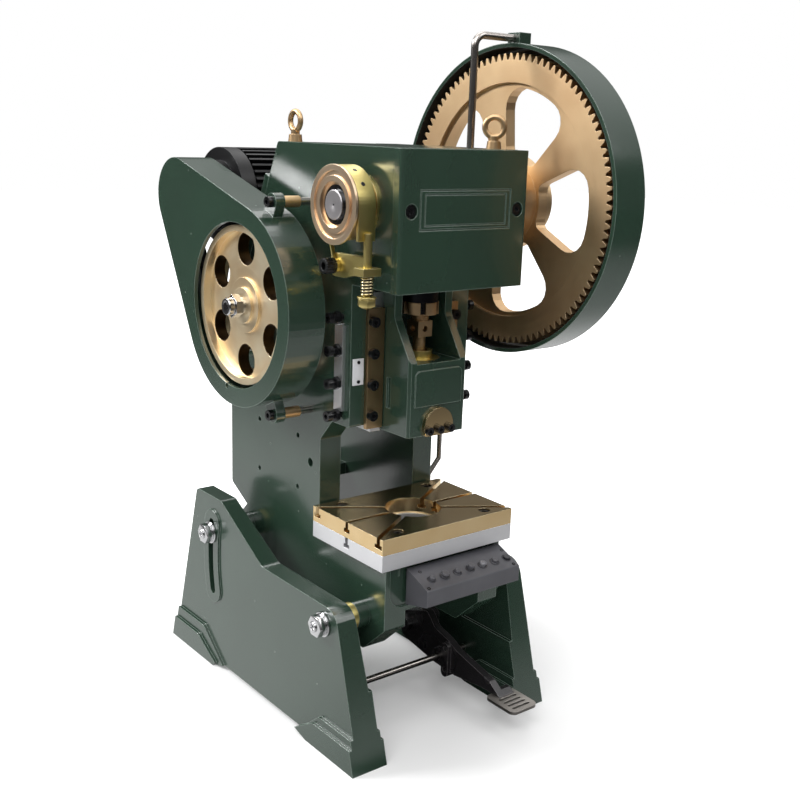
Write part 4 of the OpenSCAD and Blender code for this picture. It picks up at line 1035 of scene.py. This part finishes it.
@dataclass
class Stand(SubAssembly):
    """Two legs that carry the frame between them; sizes in mm.

    Attributes:
        bore: The radius of the hole through bosses and rings.
        boss_radius: The radius of the enamelled bosses between frame and legs.
        ring_radius: The radius of the brass rings against the legs.
        ring_width: How wide those rings are.
        ring_chamfer: The chamfer at their rims.
        washers: The radius, seat and top of each washer.
        washer_bore: The radius of the washers' holes.
        nut: The radius, height and softened edge of the hexagon nuts.
        bolt_root: How far from the press's middle the bolts begin.
        bolt_end: The profile of a bolt's outer end with its socket.
    """

    finishes: ClassVar[dict[str, Finish]] = {
        "left_leg": GREEN_ENAMEL,
        "right_leg": GREEN_ENAMEL,
        "pedal_shaft": ROD_STEEL,
    }
    bore: float = 2.12
    boss_radius: float = 4.8
    ring_radius: float = 5.0
    ring_width: float = 3.2
    ring_chamfer: float = 0.3
    washers: tuple[Point, ...] = ((4.5, 0.0, 0.75), (4.0, 0.75, 1.35))
    washer_bore: float = 2.1
    nut: Point = (4.1, 2.5, 0.35)
    bolt_root: float = 20.0
    bolt_end: Profile = (
        (1.98, 4.3), (1.7, 4.6), (1.15, 4.6), (1.05, 4.4), (1.05, 3.95), (0.0, 3.9)
    )

    def trim(self) -> None:
        """Model the spacers, and the nuts on short socket bolts outside the legs."""
        self.spacers()
        self.nuts()

    def spacers(self) -> None:
        """Model an enamelled boss and a brass ring at each place."""
        bosses, rings = bmesh.new(), bmesh.new()
        rim, chamfer, bore = self.ring_radius, self.ring_chamfer, self.bore
        for low, high in solid_boxes("leg_spacers"):
            at, out, top = outward(low, high)
            seam = top - self.ring_width
            ring = (
                (bore, seam), (rim - chamfer, seam), (rim, seam + chamfer), (rim, top - chamfer),
                (rim - chamfer, top), (bore, top), (bore, seam),
            )
            lathe(bosses, tube(bore, self.boss_radius, 0.0, seam), at, out, 40)
            lathe(rings, ring, at, out, 40)
        finished_mesh(bosses, "frame_bosses", "press", GREEN_ENAMEL)
        finished_mesh(
            rings, "leg_spacer_rings", "press", YELLOW_BRASS, replaces=["leg_spacers"]
        )

    def nuts(self) -> None:
        """Model two washers, a hexagon nut and the end of a socket bolt at each place."""
        nuts, bolts = bmesh.new(), bmesh.new()
        bore, seat = self.washer_bore, self.washers[-1][2]
        done = set()
        for low, high in solid_boxes("leg_nuts"):
            at, out, _ = outward(low, high)
            place = (out.x, round(at.y, 3), round(at.z, 3))
            if place in done:
                continue
            done.add(place)
            for radius, foot, top in self.washers:
                washer = (
                    (bore, foot), (radius - 0.1, foot), (radius, foot + 0.1), (radius, top - 0.15),
                    (radius - 0.15, top), (bore, top), (bore, foot),
                )
                lathe(nuts, washer, at, out, 36)
            hexagon(nuts, at + out * seat * MM, out, *self.nut)
            root = self.bolt_root - abs(at.x) / MM
            lathe(bolts, ((0.0, root), (self.bolt_end[0][0], root)) + self.bolt_end, at, out, 24)
        finished_mesh(
            nuts, "leg_washers_and_nuts", "press", BOLT_STEEL, replaces=["leg_nuts"]
        )
        finished_mesh(
            bolts, "leg_socket_bolts", "press", BOLT_STEEL, replaces=["leg_bolts"]
        )


@dataclass
class Frame(SubAssembly):
    """The box frame with its cover, table plates and screws; sizes in mm.

    Attributes:
        plate_size: Width and height of the small bare stroke plate on the way's front face.
        plate_low: The plate's lower left back corner, as from_crank takes it.
        plate_t: The plate's thickness.
        mark_heights: Where its two raised marks sit, as shares of its height.
        screw_heights: Where its screws sit, as shares of its height.
        screw_head: The radius and height of their heads.
    """

    finishes: ClassVar[dict[str, Finish]] = {
        "frame": GREEN_ENAMEL,
        "front_cover": GREEN_ENAMEL,
        "base_plate": WHITE_ALUMINIUM,
        "bolster_plate": PALE_GOLD,
        "socket_screws": BLACK_OXIDE,
        "eye_bolts": STRIP_BRASS,
        "bearing_bushes": YELLOW_BRASS,
    }
    plate_size: Pair = (4.6, 9.4)
    plate_low: Point = (-25.75, 4.62, 129.2)
    plate_t: float = 0.5
    mark_heights: Pair = (0.31, 0.69)
    screw_heights: Pair = (0.13, 0.87)
    screw_head: Pair = (0.62, 0.35)

    def trim(self) -> None:
        """Model the bare stroke plate with its two screws."""
        x, y, z = self.plate_low
        wide, tall = self.plate_size
        front = y - self.plate_t
        plate, screws = bmesh.new(), bmesh.new()
        block(plate, from_crank(x, front, z), from_crank(x + wide, y, z + tall), 0.12)
        for share in self.mark_heights:
            low = from_crank(x + wide * 0.2, front - 0.08, z + tall * share - 0.1)
            high = from_crank(x + wide * 0.45, front + 0.1, z + tall * share + 0.1)
            block(plate, low, high, 0.03)
        for share in self.screw_heights:
            at = from_crank(x + wide / 2.0, front, z + tall * share)
            socket_head(screws, at, Axis.FRONT.vector, *self.screw_head)
        finished_mesh(plate, "stroke_plate", "press", WHITE_PLATE)
        finished_mesh(screws, "stroke_plate_screws", "press", BLACK_OXIDE)


@dataclass
class Guides(SubAssembly):
    """Gib strips, liners and their adjusting screws."""

    finishes: ClassVar[dict[str, Finish]] = {
        "gib_strips": STRIP_BRASS,
        "gib_liners": WHITE_ALUMINIUM,
        "gib_side_strips": WHITE_ALUMINIUM,
        "gib_adjusting_screws": BLACK_OXIDE,
        "gib_lock_nuts": BLACK_OXIDE,
    }


@dataclass
class Ram(SubAssembly):
    """The ram, the rod that drives it and the die clamp; sizes in mm.

    Attributes:
        nut_half: From the middle of the locking nut down to the top of the screw's thread.
        threads: Start and end below that top, and radius, of each stretch of thread.
        thread_wire: The radius of a thread's crest.
        thread_pitch: The climb in one turn.
        slot_shade_core: The inner and outer radius of the dark ring inside the nut's slots, painted
            shade at their bottoms.
        slot_inset: How far that ring stays inside the nut's ends.
    """

    finishes: ClassVar[dict[str, Finish]] = {
        "ram": GREEN_ENAMEL,
        "ball_cap": YELLOW_BRASS,
        "die_clamp": PALE_GOLD,
        "clamp_screws": BLACK_OXIDE,
        "connecting_rod": ROD_FORGING,
        "crank_pin": STEEL,
        "adjusting_screw": STRIP_BRASS,
        "locking_nut": GEAR_BRASS,
    }
    nut_half: float = 2.1
    threads: tuple[Point, ...] = ((2.6, 0.0, 2.95), (12.4, 8.4, 2.0))
    thread_wire: float = 0.3
    thread_pitch: float = 0.8
    slot_shade_core: Pair = (4.5, 4.75)
    slot_inset: float = 0.05

    def trim(self) -> None:
        """Model the adjusting screw's threads and a dark ring that paints shade at the bottom of
        the locking nut's slots.
        """
        bm = bmesh.new()
        top = centre_of("locking_nut").z / MM - self.nut_half
        for start, end, radius in self.threads:
            low, high = top - start, top - end
            turns = (high - low) / self.thread_pitch
            foot = from_crank(0.0, 0.0, low)
            helix(bm, foot, radius, self.thread_wire, turns, self.thread_pitch, 20, 6)
        finished_mesh(bm, "adjusting_screw_thread", "rod", STRIP_BRASS)
        # A dark ring inside the nut: painted shade at the bottom of its slots.
        low, high = span_of("locking_nut")
        tall = (high.z - low.z) / MM - 2.0 * self.slot_inset
        shade_core = tube(*self.slot_shade_core, self.slot_inset, tall)
        turning = (shade_core, face_of("locking_nut", Axis.DOWN), Axis.Z.vector, 40)
        turned("locking_nut_slots", "rod", BLACK_OXIDE, turning)


@dataclass
class Brake(SubAssembly):
    """The band brake on the crank's left end; sizes in mm.

    Attributes:
        coil_turns: Turns of the spring.
        coil_wire: The radius of its wire.
        sleeve: The inner and outer radius of the dark tube inside the spring, painted shade between
            the coils.
        sleeve_inset: How far the tube stays inside the spring's ends.
        nut_washer: The profile of the washer under the tension rod's nut.
        nut: The radius, height and softened edge of the hexagon.
        nut_dome: The profile of the dome on top of it.
        anchor_seat: From the anchor screw's outer end to the seat of its head.
        anchor_head: The profile of that head with its socket.
        anchor_shank: The radius of its shank.
        knurls: Segments round the head; every other one is a groove.
        knurl_depth: How deep the grooves are.
        rivet_angles: Where the band's rivets sit round the drum, in degrees.
        rivet: The profile of a rivet.
        band_middle: From the band's left face to its middle.
        band_outside: The band's outer radius.
        crank_face: The profile of the crank's faced end with its centre mark.
        drum_ring: The profile of a dark ring in the drum's bore round the crank's end, painted
            shade.
        ring_inset: From the drum's left face to the ring's seat.
    """

    finishes: ClassVar[dict[str, Finish]] = {
        "brake_drum": DRUM_BRASS,
        "crank_end_cap": GEAR_BRASS,
        "crankshaft": STEEL,
        "brake_band": YELLOW_BRASS,
        "brake_bracket": YELLOW_BRASS,
        "brake_rod": YELLOW_BRASS,
        "brake_spring": YELLOW_BRASS,
        "brake_nut": YELLOW_BRASS,
        "brake_anchor": BLACK_OXIDE,
    }
    coil_turns: float = 6.0
    coil_wire: float = 0.3
    sleeve: Pair = (1.36, 1.5)
    sleeve_inset: float = 0.1
    nut_washer: Profile = (
        (0.0, 0.0), (3.0, 0.0), (3.15, 0.12), (3.15, 0.48), (3.0, 0.6), (0.0, 0.6)
    )
    nut: Point = (3.1, 2.5, 0.22)
    nut_dome: Profile = ((0.0, 2.9), (2.35, 2.9), (2.3, 3.3), (1.8, 3.7), (1.0, 3.92), (0.0, 3.98))
    anchor_seat: float = 4.2
    anchor_head: Profile = (
        (0.0, 0.0), (2.6, 0.0), (2.7, 0.15), (2.7, 3.75), (2.35, 4.18), (1.4, 4.18), (1.3, 4.05),
        (1.3, 1.9), (0.0, 1.7),
    )
    anchor_shank: float = 1.45
    knurls: int = 44
    knurl_depth: float = 0.22
    rivet_angles: Pair = (118.0, 146.0)
    rivet: Profile = ((0.0, 0.0), (0.75, 0.0), (0.78, 0.1), (0.6, 0.2), (0.3, 0.16), (0.0, 0.12))
    band_middle: float = 3.0
    band_outside: float = 12.9
    crank_face: Profile = (
        (0.0, -0.3), (4.7, -0.3), (4.85, 0.0), (4.6, 0.22), (2.6, 0.16), (0.7, 0.12), (0.0, -0.1),
    )
    drum_ring: Profile = ((5.0, 0.0), (6.45, 0.0), (6.5, 0.1), (6.5, 0.5), (5.0, 0.5), (5.0, 0.0))
    ring_inset: float = 1.7

    def trim(self) -> None:
        """Model the spring, nut, anchor screw, rivets and the crank's end."""
        self.spring()
        self.domed_nut()
        self.anchor()
        self.rivets()
        self.crank_end()

    def spring(self) -> None:
        """Model the spring as a real coil round a dark sleeve, painted shade between its coils."""
        low, high = span_of("brake_spring")
        foot = face_of("brake_spring", Axis.DOWN)
        wire, inset, tall = self.coil_wire, self.sleeve_inset, (high.z - low.z) / MM
        radius = (high.x - low.x) / MM / 2.0 - wire
        coil, tall_inside = bmesh.new(), tall - 2.0 * wire
        at = foot + Axis.Z.vector * wire * MM
        helix(coil, at, radius, wire, self.coil_turns, tall_inside / self.coil_turns)
        finished_mesh(
            coil, "brake_spring_coil", "press", SPRING_STEEL, replaces=["brake_spring"]
        )
        # A dark tube inside the coil: painted shade between the turns.
        turning = (tube(*self.sleeve, inset, tall - inset), foot, Axis.Z.vector, 20)
        turned("brake_spring_sleeve", "press", BLACK_OXIDE, turning)

    def domed_nut(self) -> None:
        """Model the domed hexagon nut with its washer."""
        top, down = face_of("brake_nut", Axis.Z), Axis.DOWN.vector
        bm = bmesh.new()
        lathe(bm, self.nut_washer, top, down)
        hexagon(bm, top + down * self.nut_washer[-1][1] * MM, down, *self.nut)
        lathe(bm, self.nut_dome, top, down)
        finished_mesh(bm, "brake_domed_nut", "press", YELLOW_BRASS, replaces=["brake_nut"])

    def anchor(self) -> None:
        """Model the knurled cap screw that anchors the band."""
        seat = face_of("brake_anchor", Axis.LEFT) + Axis.X.vector * self.anchor_seat * MM
        rim = max(radius for radius, _ in self.anchor_head)
        bm = bmesh.new()
        lathe(bm, self.anchor_head, seat, Axis.LEFT.vector, self.knurls)
        knurl(bm, seat, Axis.LEFT.vector, rim, self.knurls, self.knurl_depth)
        reach = (span_of("brake_anchor")[1].x - seat.x) / MM
        lathe(bm, tube(0.0, self.anchor_shank, 0.0, reach)[:-1], seat, Axis.X.vector, 20)
        finished_mesh(
            bm, "brake_anchor_screw", "press", BLACK_OXIDE, replaces=["brake_anchor"]
        )

    def rivets(self) -> None:
        """Model the two dark rivets on the band's crown."""
        band = span_of("brake_band")[0].x + self.band_middle * MM
        middle = along(band, CRANK_AXIS)
        bm = bmesh.new()
        for angle in self.rivet_angles:
            out = spoke(angle)
            lathe(bm, self.rivet, middle + out * (self.band_outside - 0.08) * MM, out, 16)
        finished_mesh(bm, "brake_band_rivets", "press", BLACK_OXIDE)

    def crank_end(self) -> None:
        """Model the faced end of the crank and a dark ring in the drum's bore, painted shade."""
        end = along(span_of("crankshaft")[0].x, CRANK_AXIS)
        seat = along(span_of("brake_drum")[0].x + self.ring_inset * MM, CRANK_AXIS)
        face = (self.crank_face, end, Axis.LEFT.vector, 48)
        # Painted shade: a black ring in the bore round the crank's end.
        ring = (self.drum_ring, seat, Axis.LEFT.vector, 40)
        turned("crank_faced_end", "crank", FACED_STEEL, face)
        turned("drum_retaining_ring", "crank", BLACK_OXIDE, ring)


@dataclass
class Drive(SubAssembly):
    """Gear, back shaft, flywheel, pulley, belt and motor; sizes in mm.

    Attributes:
        hub_seat: From the press's middle to the seat of the bolt head in the hub.
        bolt_head: The profile of that head above its straight side.
        socket: The profile of a thin black disc in the head's socket, painted shade.
        hole_circle: The radius on which the flywheel's holes sit.
        hole_radius: The radius of a hole.
        hole_count: How many holes there are.
        skin: The thickness of the skin inside a hole.
        web: From the press's middle to the web's left and right face.
    """

    finishes: ClassVar[dict[str, Finish]] = {
        "bull_gear": GEAR_BRASS,
        "back_shaft": BOLT_STEEL,
        "flywheel": WHEEL_BRASS,
        "pinion": STEEL,
        "motor_pulley": WHITE_ALUMINIUM,
        "drive_belt": BELT_RUBBER,
        "motor_housing": BLACK_ENAMEL,
        "motor_end_bells": BLACK_ENAMEL,
        "motor_bracket": GREEN_ENAMEL,
    }
    hub_seat: float = 50.1
    bolt_head: Profile = ((3.15, -0.35), (2.85, 0.05), (1.75, 0.05), (1.6, 0.0), (0.0, 0.0))
    socket: Profile = ((1.7, 0.02), (1.65, 0.06), (0.0, 0.06))
    hole_circle: float = 20.3
    hole_radius: float = 5.97
    hole_count: int = 6
    skin: float = 0.2
    web: Pair = (43.95, 39.55)

    def trim(self) -> None:
        """Model the hub bolt, and a dark skin in the flywheel's holes that paints their shade."""
        self.hub_bolt()
        self.hole_shade()

    def hub_bolt(self) -> None:
        """Model the polished socket bolt in the flywheel's hub, with painted shade in its socket.
        """
        end = span_of("back_shaft")[0].x
        at = along(end, SHAFT_AXIS)
        seat = self.hub_seat + end / MM
        head = ((0.0, seat), (3.05, seat), (3.15, seat + 0.1)) + self.bolt_head
        turned("hub_bolt_head", "drive", BOLT_STEEL, (head, at, Axis.LEFT.vector, 40))
        # Painted shade: a thin black disc in the socket.
        socket = (self.socket, at, Axis.LEFT.vector, 6)
        turned("hub_bolt_socket_shade", "drive", BLACK_OXIDE, socket)

    def hole_shade(self) -> None:
        """Model a dark brass skin inside each of the flywheel's holes, painted shade."""
        bm = bmesh.new()
        start, end = self.web
        skin = tube(self.hole_radius - self.skin, self.hole_radius, 0.0, start - end)
        centre = along(-start * MM, SHAFT_AXIS)
        for turn in range(self.hole_count):
            out = spoke(90.0 + turn * 360.0 / self.hole_count) * self.hole_circle * MM
            lathe(bm, skin, centre + out, Axis.X.vector, 36)
        finished_mesh(bm, "flywheel_hole_shade", "drive", SHADED_BORE_BRASS)


@dataclass
class Guards(SubAssembly):
    """Belt guard and gear guard with what holds them; sizes in mm.

    Attributes:
        sleeve: How far the brass sleeves of the standoffs reach from their screws.
        stem: The inner and outer radius of the steel stems behind them.
        frame_half: Where the stems start at the frame's side.
        shortest: The shortest stem that shows.
    """

    finishes: ClassVar[dict[str, Finish]] = {
        "belt_guard": GREEN_ENAMEL,
        "guard_standoffs": GEAR_BRASS,
        "gear_guard": GREEN_ENAMEL_SHADED_INSIDE,
        "gear_guard_rod": ROD_STEEL,
    }
    sleeve: float = 7.3
    stem: Pair = (1.31, 1.42)
    frame_half: float = 26.6
    shortest: float = 0.5

    def trim(self) -> None:
        """Model the steel stems between the brass sleeves and the frame."""
        bm = bmesh.new()
        edge = -self.frame_half * MM
        for low, high in solid_boxes("guard_standoffs"):
            reach = (edge - low.x) / MM - self.sleeve
            if reach > self.shortest:
                middle = (low + high) / 2.0
                at = along(edge, tuple(middle))
                lathe(bm, tube(*self.stem, 0.0, reach), at, Axis.LEFT.vector, 24)
        finished_mesh(bm, "standoff_stems", "press", ROD_STEEL)


class ButtonShape(Enum):
    """The push buttons from the left: crown above the stem, plastic and bezel radius; in mm."""

    DOME = (((1.2, 0.2), (1.2, 1.1), (1.05, 1.5), (0.6, 1.8), (0.0, 1.9)), GREY_PLASTIC, 1.7)
    MUSHROOM = (
        ((1.0, 0.3), (1.0, 1.15), (1.5, 1.2), (1.55, 1.4), (1.25, 1.8), (0.0, 1.9)),
        GREY_PLASTIC,
        2.1,
    )
    SMALL = (((1.1, 0.2), (1.1, 1.0), (0.85, 1.35), (0.0, 1.5)), GREY_PLASTIC, 1.75)
    TALL = (((1.22, 0.2), (1.22, 1.95), (1.05, 2.15), (0.0, 2.2)), GREY_PLASTIC, 1.9)
    ROUND = (
        ((1.2, 0.2), (1.2, 1.1), (1.32, 1.2), (1.2, 1.45), (0.9, 1.75), (0.0, 1.95)),
        PALE_PLASTIC,
        1.95,
    )
    RINGED = (((1.05, 0.2), (1.05, 1.15), (0.9, 1.3), (0.55, 1.25), (0.0, 1.2)), GREY_PLASTIC, 2.05)
    FLAT = (((1.22, 0.2), (1.22, 0.95), (1.1, 1.1), (0.0, 1.1)), DARK_PLASTIC, 1.8)


@dataclass
class Controls(SubAssembly):
    """The box of push buttons on the front; sizes in mm.

    Attributes:
        slope: How far the box's roof leans to the front, in degrees.
        roof_up: From the middle of a button's box up to the roof.
        stem: The profile of a button's stem.
        bezel: The bore, lowest and highest edge of a bezel.
        bezel_crest: The point of its rounded inner rim.
        row_down: How far down the roof the row of buttons sits.
        corner_screws: Where the screws sit, across and down the roof.
        screw_head: The radius and height of their heads.
        screw_inset: How deep their seats are in the roof.
    """

    finishes: ClassVar[dict[str, Finish]] = {"control_box": GREY_PLASTIC}
    slope: float = 20.5
    roof_up: float = 0.025
    stem: Profile = ((0.0, -1.45), (1.22, -1.45), (1.22, 0.2))
    bezel: Point = (1.4, -0.2, 0.2)
    bezel_crest: Pair = (1.55, 0.3)
    row_down: float = 8.6
    corner_screws: Profile = ((-13.9, 3.9), (-15.9, 12.1), (24.8, 4.4), (24.2, 12.2))
    screw_head: Pair = (0.7, 0.45)
    screw_inset: float = 0.1

    def trim(self) -> None:
        """Model the seven buttons, the bezels round them and the box's corner screws."""
        tilt = math.radians(self.slope)
        up = Vector((0.0, -math.sin(tilt), math.cos(tilt)))
        down_slope = Vector((0.0, -math.cos(tilt), -math.sin(tilt)))
        bezels, screws = bmesh.new(), bmesh.new()
        bore, foot, top = self.bezel
        for i, shape in enumerate(ButtonShape, start=1):
            crown, finish, radius = shape.value
            node = f"button_{i}"
            at = centre_of(node) + up * self.roof_up * MM
            turning = (self.stem + crown, at, up, 28)
            turned(f"push_{node}", node, finish, turning, replaces=[node])
            ring = tube(bore, radius, foot, top)
            lathe(bezels, ring[:3] + (self.bezel_crest,) + ring[3:], at, up, 28)
        finished_mesh(bezels, "button_bezels", "press", DARK_PLASTIC)
        row = centre_of("button_1") + up * self.roof_up * MM
        for x, down in self.corner_screws:
            at = along(x * MM, tuple(row)) + down_slope * (down - self.row_down) * MM
            socket_head(screws, at - up * self.screw_inset * MM, up, *self.screw_head)
        finished_mesh(screws, "control_box_screws", "press", BLACK_OXIDE)


@dataclass
class Pedal(SubAssembly):
    """The foot pedal and the rod it lifts."""

    finishes: ClassVar[dict[str, Finish]] = {
        "pedal_lever": LEVER_BLACK,
        "treadle": TREADLE_STEEL,
        "pedal_screws": BOLT_STEEL,
        "pull_rod": ROD_STEEL,
    }


# ---------- studio ----------


@dataclass
class Studio:
    """Camera, lamps, white floor and backdrop.

    Attributes:
        eye: The camera's place.
        yaw: Degrees that the camera looks to the right of +Y.
        pitch: Degrees that it looks up.
        roll: Degrees that it leans.
        lens: The focal length in millimetres on a frame of sensor width.
        sensor: That width.
        aim: What the lamps point at.
        lamps: The name, place, width and watts of each lamp.
        floor_half: Half the floor's width.
        sky_level: How bright the surroundings light the object.
        glow_and_shade: The lift of the seen floor, by the distance from its middle; weak near the
            middle, so the floor round the object is painted darker on top of its real shadow.
        pool: How bright the mirrored floor is, by the same distance.
        footprint: How it grows outside the object, to the sides and to front and back; inside, it
            stays dark, a painted shadow of the object.
        front: How it grows from far in front towards the object.
        back: How it grows from in front of the object towards the back.
        floor_paint: The floor's own white, and what is left of it in mirrors.
        gloss: The roughness and the refractive index of the floor's polish.
        polish: How that polish fades, by the distance.
        tent: How the mirrored room lightens, by how steeply a ray climbs.
    """

    eye: Point = (-0.242458, -0.322074, 0.216338)
    yaw: float = 38.458
    pitch: float = -13.924
    roll: float = 1.905
    lens: float = 49.05
    sensor: float = 36.0
    aim: Point = (0.0, 0.0, 0.12)
    lamps: tuple[tuple[str, Point, float, float], ...] = (
        ("key_lamp", (-0.6, -0.45, 1.05), 0.9, 7.0),
        ("side_lamp", (-0.8, 0.75, 0.85), 0.45, 14.0),
        ("fill_lamp", (0.6, -0.8, 0.95), 0.6, 3.0),
        ("top_lamp", (0.3, 0.45, 1.2), 1.0, 5.0),
    )
    floor_half: float = 3.0
    sky_level: float = 0.42
    glow_and_shade: Fade = Fade(0.05, 0.2, 0.2, 1.0)
    pool: Fade = Fade(0.2, 0.8, 1.0, 0.04)
    footprint: tuple[Fade, Fade] = (Fade(0.034, 0.047), Fade(0.075, 0.1))
    front: Fade = Fade(-0.45, -0.27, 0.04, 1.0)
    back: Fade = Fade(-0.1, 0.03, 0.5, 1.0)
    floor_paint: Pair = (0.8, 0.02)
    gloss: Pair = (0.2, 1.4)
    polish: Fade = Fade(0.1, 0.3, 1.0, 0.0)
    tent: Fade = Fade(0.25, 0.8, 0.05, 1.0)

    def build(self) -> None:
        """Set up the view, the light and the surroundings."""
        self.camera()
        self.floor()
        self.sky()
        for lamp in self.lamps:
            self.lamp(*lamp)
        bpy.context.scene.view_settings.view_transform = "Standard"

    def seen(self, tree: Tree) -> tuple[Socket, Socket]:
        """Return what is 1 for rays that look straight or through glass, and for mirrored ones."""
        rays = add_node(tree, "LightPath").outputs
        straight = maths(tree, "MAXIMUM", rays["Is Camera Ray"], rays["Is Transmission Ray"])
        return straight, rays["Is Glossy Ray"]

    def camera(self) -> None:
        """Place the camera by its yaw, pitch and roll."""
        yaw, pitch, roll = (math.radians(a) for a in (self.yaw, self.pitch, self.roll))
        forward = Vector(
            (math.sin(yaw) * math.cos(pitch), math.cos(yaw) * math.cos(pitch), math.sin(pitch))
        )
        level = forward.cross(Axis.Z.vector).normalized()
        upright = level.cross(forward)
        right = level * math.cos(roll) + upright * math.sin(roll)
        up = upright * math.cos(roll) - level * math.sin(roll)
        data = bpy.data.cameras.new("studio_camera")
        data.lens, data.sensor_width = self.lens, self.sensor
        data.clip_start, data.clip_end = 0.01, 20.0
        camera = bpy.data.objects.new("studio_camera", data)
        turn = Matrix((right, up, -forward)).transposed().to_4x4()
        camera.matrix_world = Matrix.Translation(self.eye) @ turn
        bpy.context.scene.collection.objects.link(camera)
        bpy.context.scene.camera = camera

    def floor(self) -> None:
        """Lay a white floor that keeps the object's shadow."""
        bm = bmesh.new()
        bmesh.ops.create_grid(bm, x_segments=1, y_segments=1, size=self.floor_half)
        made = bpy.data.materials.new("white_floor")
        tree = emptied_tree(made)
        seen, mirrored = self.seen(tree)
        place = add_node(tree, "TexCoord").outputs["Object"]
        reach = maths(tree, "LENGTH", place, kind="VectorMath")
        pool = self.pool_light(tree, place, reach, mirrored)
        # Weaker lift near the middle: painted shade round the object's foot.
        strength = maths(tree, "MULTIPLY_ADD", seen, self.glow_and_shade.on(tree, reach), pool)
        paint = add_node(tree, "BsdfDiffuse", in_Color=mixed(tree, mirrored, *self.floor_paint))
        shine = add_node(tree, "Emission", in_Color=WHITE, in_Strength=strength)
        base = add_node(tree, "AddShader", in_0=paint.outputs[0], in_1=shine.outputs[0])
        gloss = add_node(tree, "BsdfGlossy", in_Color=WHITE, in_Roughness=self.gloss[0])
        rim = add_node(tree, "Fresnel", in_IOR=self.gloss[1]).outputs[0]
        rim = maths(tree, "MULTIPLY", rim, self.polish.on(tree, reach))
        rim = maths(tree, "MULTIPLY", rim, seen)
        mix = add_node(tree, "MixShader", in_0=rim, in_1=base.outputs[0], in_2=gloss.outputs[0])
        add_node(tree, "OutputMaterial", in_Surface=mix.outputs[0])
        linked_mesh(bm, "floor", made)

    def pool_light(self, tree: Tree, place: Socket, reach: Socket, mirrored: Socket) -> Socket:
        """Work out how bright the floor is where the object mirrors it.

        Args:
            tree: The floor material's node tree.
            place: The point on the floor.
            reach: Its distance from the floor's middle.
            mirrored: What is 1 for mirrored rays.

        Returns:
            The emission: dark under the object, a painted shadow, and dark far from it; 0 for other
                rays.
        """
        side = add_node(tree, "SeparateXYZ", in_0=place).outputs
        # Painted shadow: the mirrored floor is dark inside the object's footprint.
        beside, beyond = (
            edge.on(tree, maths(tree, "ABSOLUTE", side[i])) for i, edge in enumerate(self.footprint)
        )
        clear = maths(tree, "MAXIMUM", beside, beyond)
        pool = maths(tree, "MULTIPLY", clear, self.pool.on(tree, reach))
        depth = maths(tree, "MULTIPLY", self.front.on(tree, side[1]), self.back.on(tree, side[1]))
        pool = maths(tree, "MULTIPLY", depth, pool)
        return maths(tree, "MULTIPLY", mirrored, pool)

    def sky(self) -> None:
        """Surround the object with white that shows, soft white that lights and a mirrored room."""
        world = bpy.data.worlds.new("studio_white")
        bpy.context.scene.world = world
        tree = emptied_tree(world)
        seen, mirrored = self.seen(tree)
        ray = add_node(tree, "TexCoord").outputs["Generated"]
        height = add_node(tree, "SeparateXYZ", in_0=ray).outputs[2]
        tent = self.tent.on(tree, height)
        level = maths(tree, "MAXIMUM", mixed(tree, mirrored, self.sky_level, tent), seen)
        white = add_node(tree, "Background", in_Color=WHITE, in_Strength=level)
        add_node(tree, "OutputWorld", in_Surface=white.outputs[0])

    def lamp(self, name: str, place: Point, size: float, watts: float) -> None:
        """Hang a square soft lamp that points at the middle of the object.

        Args:
            name: The lamp's name.
            place: Where it hangs.
            size: Its width.
            watts: Its power.
        """
        data = bpy.data.lights.new(name, "AREA")
        data.shape, data.size, data.energy = "SQUARE", size, watts
        lamp = bpy.data.objects.new(name, data)
        aim = (Vector(self.aim) - Vector(place)).to_track_quat("-Z", "Y").to_matrix().to_4x4()
        lamp.matrix_world = Matrix.Translation(place) @ aim
        bpy.context.scene.collection.objects.link(lamp)


def main() -> None:
    """Build the press, piece by piece, then the studio round it."""
    logging.basicConfig(level=logging.INFO, format="%(name)s: %(message)s")
    for assembly in (Stand, Frame, Guides, Ram, Brake, Drive, Guards, Controls, Pedal):
        assembly().build()
    Studio().build()


if __name__ == "__main__":
    main()
